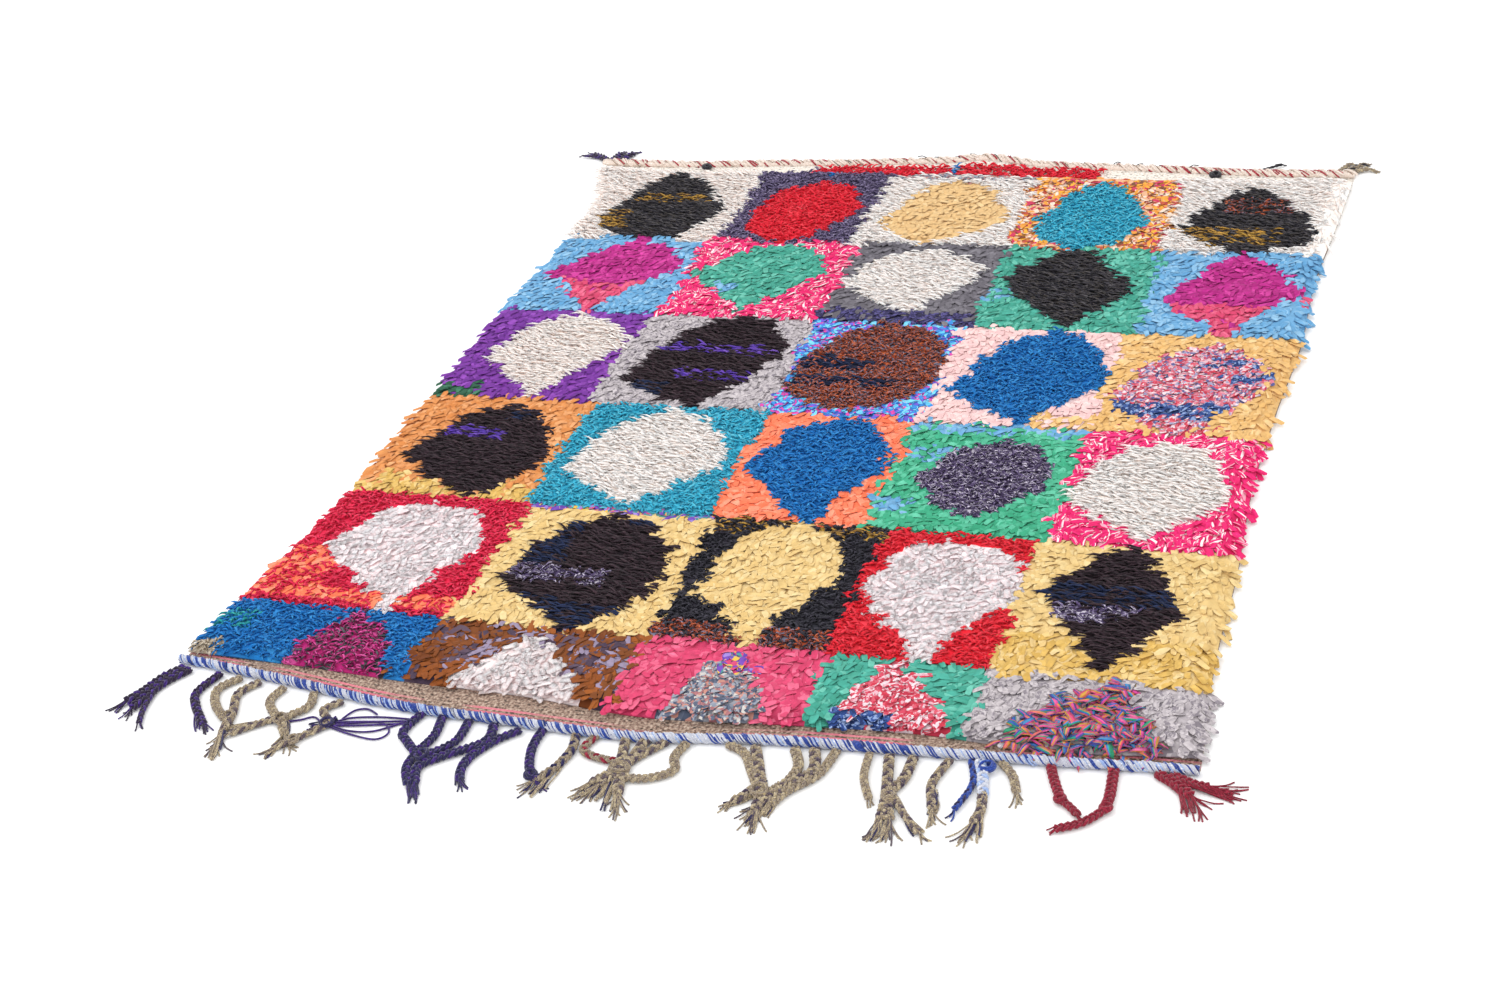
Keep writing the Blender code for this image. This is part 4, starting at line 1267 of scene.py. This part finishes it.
# A plait's plan points and the length of its fray are in millimetres; ends is the number of loose ends.
Plait = namedtuple("Plait", "yarns width points ends fray")
TAN = ("tan yarn", "light tan yarn", "tan yarn")
TAN_NAVY = ("tan yarn", "light tan yarn", "dark tan yarn")
NAVY = ("navy yarn", "violet yarn", "navy yarn")
VIOLET = ("violet yarn", "plum yarn", "plum yarn")
CRIMSON = ("crimson yarn", "crimson yarn", "crimson yarn")
BLUE_WHITE = ("white yarn", "pale blue yarn", "white yarn")
NAVY_IN_TAN = ("tan yarn", "navy yarn", "tan yarn")
CRIMSON_IN_TAN = ("tan yarn", "crimson yarn", "tan yarn")
FRINGE = {
    "fringe-violet": (
        Plait(VIOLET, 1.3, ((-662, -774), (-680, -797), (-692, -830), (-704, -852)), 9, 26),
        Plait(VIOLET, 1.1, ((-652, -776), (-672, -806), (-684, -842), (-688, -864)), 6, 20),
        Plait(VIOLET, 0.6, ((-664, -780), (-676, -822), (-672, -860), (-661, -890)), 3, 10),
        Plait(VIOLET, 1.0, ((-604, -778), (-616, -817), (-605, -842), (-572, -878)), 6, 18),
    ),
    "fringe-tan-left": (
        Plait(TAN, 1.0, ((-570, -782), (-590, -808), (-577, -838), (-548, -864)), 7, 26),
        Plait(TAN_NAVY, 1.0, ((-539, -786), (-557, -813), (-544, -849), (-537, -884)), 9, 46),
        Plait(TAN, 1.0, ((-500, -792), (-505, -822), (-476, -852)), 0, 0),
        Plait(TAN_NAVY, 0.9, ((-478, -850), (-506, -872), (-526, -890)), 7, 24),
        Plait(TAN, 1.0, ((-454, -796), (-447, -823), (-468, -852), (-450, -880)), 8, 36),
        Plait(TAN_NAVY, 0.9, ((-406, -806), (-424, -826), (-406, -850), (-432, -884), (-452, -905)), 7, 26),
    ),
    "fringe-navy": (
        Plait(NAVY, 1.0, ((-288, -806), (-298, -848), (-284, -866), (-256, -890)), 0, 0),
        Plait(NAVY, 1.0, ((-260, -812), (-254, -850), (-262, -880)), 0, 0),
        Plait(NAVY, 1.0, ((-222, -815), (-222, -856), (-248, -886)), 0, 0),
        Plait(NAVY, 1.1, ((-187, -817), (-184, -850), (-228, -886), (-248, -908), (-238, -938)), 9, 30),
        Plait(NAVY, 1.0, ((-262, -884), (-262, -912), (-246, -940)), 6, 26),
        Plait(NAVY, 1.0, ((-148, -822), (-172, -846), (-191, -882), (-191, -906), (-184, -922)), 7, 16),
        Plait(NAVY, 1.0, ((-120, -814), (-120, -849), (-108, -886), (-92, -906)), 5, 22),
    ),
    "fringe-tan-middle": (
        Plait(NAVY_IN_TAN, 1.0, ((-75, -818), (-69, -846), (-76, -880), (-91, -906)), 7, 30),
        Plait(CRIMSON_IN_TAN, 0.9, ((-48, -816), (-55, -844), (-32, -855), (-4, -858)), 0, 0),
        Plait(TAN_NAVY, 1.1, ((-10, -815), (-2, -848), (2, -876), (-10, -900)), 10, 34),
        Plait(TAN_NAVY, 1.2, ((16, -815), (12, -846), (8, -874), (18, -912)), 12, 38),
        Plait(TAN_NAVY, 1.0, ((43, -813), (20, -842), (4, -866), (-22, -900)), 8, 30),
        Plait(TAN, 1.0, ((68, -812), (62, -839), (70, -862), (42, -881), (8, -884)), 0, 0),
    ),
    "fringe-tan-right": (
        Plait(TAN, 1.0, ((118, -806), (144, -818), (162, -846), (178, -872)), 0, 0),
        Plait(TAN_NAVY, 1.2, ((153, -804), (170, -841), (184, -877), (190, -910)), 13, 36),
        Plait(TAN_NAVY, 1.1, ((176, -876), (166, -894), (158, -902)), 7, 20),
        Plait(TAN, 1.1, ((201, -800), (216, -833), (206, -868), (184, -886)), 0, 0),
        Plait(TAN_NAVY, 1.2, ((225, -797), (235, -835), (214, -863), (196, -896)), 13, 36),
        Plait(TAN, 1.0, ((252, -795), (243, -840), (216, -874), (204, -900)), 8, 26),
        Plait(TAN, 0.8, ((292, -794), (297, -835), (314, -872)), 3, 10),
        Plait(TAN_NAVY, 1.1, ((316, -794), (326, -837), (333, -870), (336, -902)), 12, 38),
        Plait(TAN_NAVY, 1.1, ((345, -792), (344, -830), (334, -862), (346, -900)), 10, 36),
        Plait(TAN_NAVY, 0.7, ((340, -862), (362, -892), (384, -915)), 5, 18),
        Plait(TAN_NAVY, 0.9, ((388, -790), (378, -832), (385, -862), (389, -876)), 9, 26),
    ),
    "fringe-blue-white": (
        Plait(("blue yarn", "blue yarn", "navy yarn"), 0.6, ((412, -786), (424, -826), (414, -872)), 4, 14),
        Plait(BLUE_WHITE, 1.2, ((422, -786), (432, -812), (440, -842)), 5, 16),
        Plait(TAN_NAVY, 1.0, ((438, -836), (444, -868), (440, -890)), 10, 34),
        Plait(TAN, 0.9, ((447, -784), (466, -806), (476, -832)), 7, 22),
    ),
    "fringe-crimson": (
        Plait(CRIMSON, 1.0, ((504, -780), (514, -806), (528, -836)), 0, 0),
        Plait(CRIMSON, 0.8, ((526, -834), (540, -846), (552, -858)), 3, 8),
        Plait(CRIMSON, 1.1, ((576, -776), (580, -821), (578, -846)), 0, 0),
        Plait(CRIMSON, 0.9, ((580, -842), (560, -868), (532, -884)), 4, 10),
        Plait(CRIMSON, 1.2, ((624, -774), (648, -790), (668, -806)), 8, 40),
        Plait(CRIMSON, 1.0, ((640, -774), (668, -786), (684, -788)), 10, 44),
    ),
}

# Yarns that lie together unplaited: how many, how far apart they lie at their ends, and their plan points.
Bundle = namedtuple("Bundle", "yarns count spread points")
TWO_TAN = ("tan yarn", "light tan yarn", "navy yarn", "light tan yarn")
BUNDLES = {
    "fringe-violet": (
        Bundle(VIOLET, 10, 6, ((-664, -788), (-682, -822), (-700, -852))),
        Bundle(VIOLET, 8, 5, ((-606, -838), (-590, -862), (-568, -888))),
    ),
    "fringe-tan-left": (
        Bundle(TWO_TAN, 8, 5, ((-577, -836), (-562, -854), (-546, -870))),
        Bundle(TWO_TAN, 12, 5, ((-548, -852), (-540, -880), (-530, -914), (-526, -938))),
        Bundle(TWO_TAN, 9, 4, ((-470, -850), (-508, -866), (-540, -878))),
        Bundle(TWO_TAN, 10, 5, ((-470, -848), (-452, -878), (-458, -920))),
        Bundle(TWO_TAN, 8, 5, ((-430, -880), (-446, -896), (-458, -914))),
        Bundle(NAVY, 12, 6, ((-398, -838), (-410, -852), (-430, -858))),
    ),
    "fringe-navy": (
        Bundle(NAVY, 14, 6, ((-236, -880), (-250, -910), (-240, -938), (-224, -964))),
        Bundle(NAVY, 8, 5, ((-191, -880), (-192, -904), (-184, -928))),
        Bundle(NAVY, 8, 5, ((-114, -868), (-106, -890), (-90, -908))),
    ),
    "fringe-tan-middle": (
        Bundle(TWO_TAN, 12, 6, ((-70, -846), (-76, -880), (-86, -934))),
        Bundle(TWO_TAN, 12, 7, ((4, -852), (-8, -888), (-32, -922))),
        Bundle(TWO_TAN, 14, 8, ((8, -850), (8, -896), (16, -944))),
        Bundle(TWO_TAN, 12, 7, ((2, -856), (-2, -896), (-8, -926))),
    ),
    "fringe-tan-right": (
        Bundle(TWO_TAN, 16, 8, ((180, -858), (188, -896), (188, -932))),
        Bundle(TWO_TAN, 10, 5, ((190, -868), (172, -890), (148, -906))),
        Bundle(TWO_TAN, 10, 6, ((200, -862), (204, -892), (202, -918))),
        Bundle(TWO_TAN, 15, 7, ((332, -846), (338, -890), (341, -936))),
        Bundle(TWO_TAN, 10, 5, ((338, -856), (362, -888), (384, -916))),
        Bundle(TWO_TAN, 8, 5, ((384, -846), (390, -866), (390, -882))),
    ),
    "fringe-blue-white": (Bundle(TWO_TAN, 12, 6, ((440, -844), (444, -880), (446, -918))),),
    "fringe-crimson": (
        Bundle(CRIMSON, 14, 8, ((638, -784), (658, -802), (668, -836))),
        Bundle(CRIMSON, 14, 6, ((638, -782), (678, -788), (714, -798))),
    ),
}

# Where plaits are tied together, by x, y and the knot's radius, and single yarns that lie loose.
KNOTTED = {
    "fringe-tan-left": ((-545, -858, 9), (-472, -852, 11), (-434, -888, 8)),
    "fringe-navy": ((-406, -850, 9), (-252, -888, 12), (-100, -900, 8)),
    "fringe-tan-middle": ((4, -872, 13),),
    "fringe-tan-right": ((184, -880, 13), (336, -866, 9)),
    "fringe-blue-white": ((434, -796, 10),),
    "fringe-crimson": ((527, -836, 7), (580, -842, 7)),
}
LOOSE = {
    "fringe-navy": (
        ((-402, -846), (-381, -832), (-340, -824), (-298, -822)),
        ((-404, -852), (-368, -862), (-330, -866), (-318, -850), (-340, -834), (-396, -848)),
        ((-400, -850), (-372, -846), (-335, -838), (-300, -830)),
        ((-410, -854), (-430, -838), (-446, -846), (-462, -852)),
        ((-398, -844), (-372, -838), (-336, -832), (-302, -826)),
        ((-404, -848), (-376, -856), (-340, -852), (-306, -828)),
        ((-392, -836), (-384, -818), (-368, -812), (-350, -820)),
    ),
}


def along_points(points, step=0.006, height=LIE):
    """A smooth floor path through plan points given in millimetres."""
    xs, ys = [x / 1000 for x, _ in points], [y / 1000 for _, y in points]
    length = sum(hypot(a - c, b - d) for a, b, c, d in zip(xs, ys, xs[1:], ys[1:]))
    steps = max(4, round(length / step))
    shares = [i / steps for i in range(steps + 1)]
    return [(smooth_between(xs, share), smooth_between(ys, share), height, 1.0) for share in shares]


def frayed_ends(path, count, reach, dice):
    """Loose yarn ends that spread from a path's last point and settle to the floor."""
    (ax, ay, _, _), (bx, by, bz, _) = path[-3], path[-1]
    heading = np.arctan2(by - ay, bx - ax)
    ends = []
    for _ in range(count):
        turn, bend = dice.normal(0, 0.24), dice.normal(0, 0.5)
        length = reach * dice.uniform(0.55, 1.15) / 1000
        sx, sy = bx + dice.uniform(-0.002, 0.002), by + dice.uniform(-0.002, 0.002)
        end_path = [(ax, ay, bz + dice.uniform(-0.002, 0.003), 1.0)]
        for i in range(7):
            share = i / 6
            way = heading + turn + bend * share
            z = bz * (1 - 1.2 * share) + dice.uniform(0, 0.0012)
            end_path.append((sx, sy, max(FRAY_THICK, z), 1.0 - 0.45 * share))
            sx += length / 6 * cos(way)
            sy += length / 6 * sin(way)
        ends.append(end_path)
    return ends


def bundle_of(bundle, dice):
    """Loose yarns lying together along one path; each wanders across the others and they part at the end."""
    middle = along_points(bundle.points)
    last = len(middle) - 1
    yarns = []
    for _ in range(bundle.count):
        begin, finish = dice.uniform(-1, 1, 2) * bundle.spread / 1000
        sway, height, cut = dice.uniform(0, 2 * pi), dice.uniform(0, 0.0062), dice.uniform(0.75, 1.0)
        path = []
        for i in range(max(3, round(last * cut)) + 1):
            share = i / last
            (ax, ay, *_), (bx, by, *_) = middle[max(i - 1, 0)], middle[min(i + 1, last)]
            run = hypot(bx - ax, by - ay)
            off = begin * (0.5 - 0.3 * share) + 1.3 * finish * share + 0.0018 * cos(sway + 6 * share)
            lift = 0.0014 + height * (1 - 0.75 * share)
            x, y = middle[i][0] - (by - ay) / run * off, middle[i][1] + (bx - ax) / run * off
            path.append((x, y, lift, 1.0 - 0.3 * share))
        yarns.append(path)
    return yarns


def knot_loops(x, y, radius, dice):
    """A few tight turns of yarn round the place where plaits are tied together."""
    loops = []
    for _ in range(4):
        tilt, spin = dice.uniform(0.2, 0.9), dice.uniform(0, 2 * pi)
        reach = radius / 1000 * dice.uniform(0.7, 1.0)
        loop = []
        for i in range(13):
            a = 2 * pi * i / 12
            u, v, w = reach * cos(a), reach * sin(a) * cos(tilt), 0.0042 * sin(a) * sin(tilt)
            turned_x, turned_y = u * cos(spin) - v * sin(spin), u * sin(spin) + v * cos(spin)
            loop.append((x / 1000 + turned_x, y / 1000 + turned_y, LIE + 0.0018 + w, 1.0))
        loops.append(loop)
    return loops


def build_fringe(name, plaits, dice):
    """All plaits of one colour group, with their knots and loose ends, as one mesh."""
    parts = []
    for plait in plaits:
        path = along_points(plait.points)
        thick = PLY * (0.55 + 0.45 * plait.width)
        reach, rise = PLAIT_REACH * plait.width, PLAIT_RISE * plait.width
        for k, yarn in enumerate(plait.yarns):
            parts.append(
                yarn_along(
                    [path], yarn, thick, Side_reach=reach, Up_reach=rise, Pitch=PLAIT_PITCH,
                    Phase=2 * pi * k / 3, Up_turns=2.0, Step=0.0026, Sides=5,
                )
            )
        if plait.ends:
            ends = frayed_ends(path, plait.ends, plait.fray, dice)
            for k, yarn in enumerate(plait.yarns):
                if ends[k::3]:
                    parts.append(yarn_along(ends[k::3], yarn, FRAY_THICK, Step=0.005, Sides=4))
    for bundle in BUNDLES.get(name, ()):
        yarns = bundle_of(bundle, dice)
        for k, yarn in enumerate(bundle.yarns):
            parts.append(yarn_along(yarns[k :: len(bundle.yarns)], yarn, BUNDLE_THICK, Step=0.005, Sides=4))
    knots = [loop for x, y, radius in KNOTTED.get(name, ()) for loop in knot_loops(x, y, radius, dice)]
    if knots:
        parts.append(yarn_along(knots, plaits[0].yarns[0], KNOT_THICK, Step=0.003, Sides=5))
    loose = [along_points(points, height=0.0022) for points in LOOSE.get(name, ())]
    if loose:
        parts.append(yarn_along(loose, plaits[0].yarns[1], LOOSE_THICK, Step=0.004, Sides=5))
    return join_meshes(name + "-plaits", parts)


fringe_dice = np.random.default_rng(90)
for name, plaits in FRINGE.items():
    fringe = build_fringe(name, plaits, fringe_dice)
    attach(fringe, "root")
    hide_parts(name)


# The far corners: a dark purple tassel at the left, a small tan tuft at the right, and one loose
# dark thread. They are ends of the yarns that the far edge was bound with.
PLUM = ("plum yarn", "violet yarn", "plum yarn")
FAR_ENDS = {
    "tassel-purple": (
        Plait(PLUM, 1.2, ((-668, 758), (-690, 776), (-712, 786)), 6, 22),
        Plait(PLUM, 1.3, ((-662, 760), (-660, 778), (-656, 792)), 7, 18),
        Plait(PLUM, 1.1, ((-652, 760), (-640, 782), (-632, 794)), 6, 16),
        Plait(PLUM, 0.3, ((-690, 774), (-712, 778), (-730, 780)), 1, 8),
    ),
    "tassel-tan": (
        Plait(TAN, 0.8, ((664, 758), (684, 772), (694, 774)), 6, 16),
        Plait(("tan yarn", "charcoal yarn", "tan yarn"), 0.8, ((654, 760), (672, 780), (684, 792)), 6, 14),
        Plait(TAN, 0.7, ((646, 760), (656, 782), (662, 792)), 5, 12),
    ),
    "far-thread": (Plait(("charcoal yarn",) * 3, 0.3, ((514, 756), (530, 770), (552, 786)), 2, 8),),
}
for name, plaits in FAR_ENDS.items():
    tassel = build_fringe(name, plaits, fringe_dice)
    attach(tassel, "root")
    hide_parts(name)


# Two dark knots of yarn that lie on the far band, each a few turns drawn tight.
DARK_KNOTS = {"knot-left": (-462, 730), "knot-right": (450, 731)}
ON_BAND = 0.0045
for name, (x, y) in DARK_KNOTS.items():
    turns = knot_loops(x, y, 10, fringe_dice) + knot_loops(x, y, 7, fringe_dice)
    turns = [[(px, py, pz + ON_BAND, share) for px, py, pz, share in turn] for turn in turns]
    knot = join_meshes(name + "-yarn", [yarn_along(turns, "charcoal yarn", KNOT_THICK, Step=0.003, Sides=5)])
    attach(knot, "root")
    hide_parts(name)
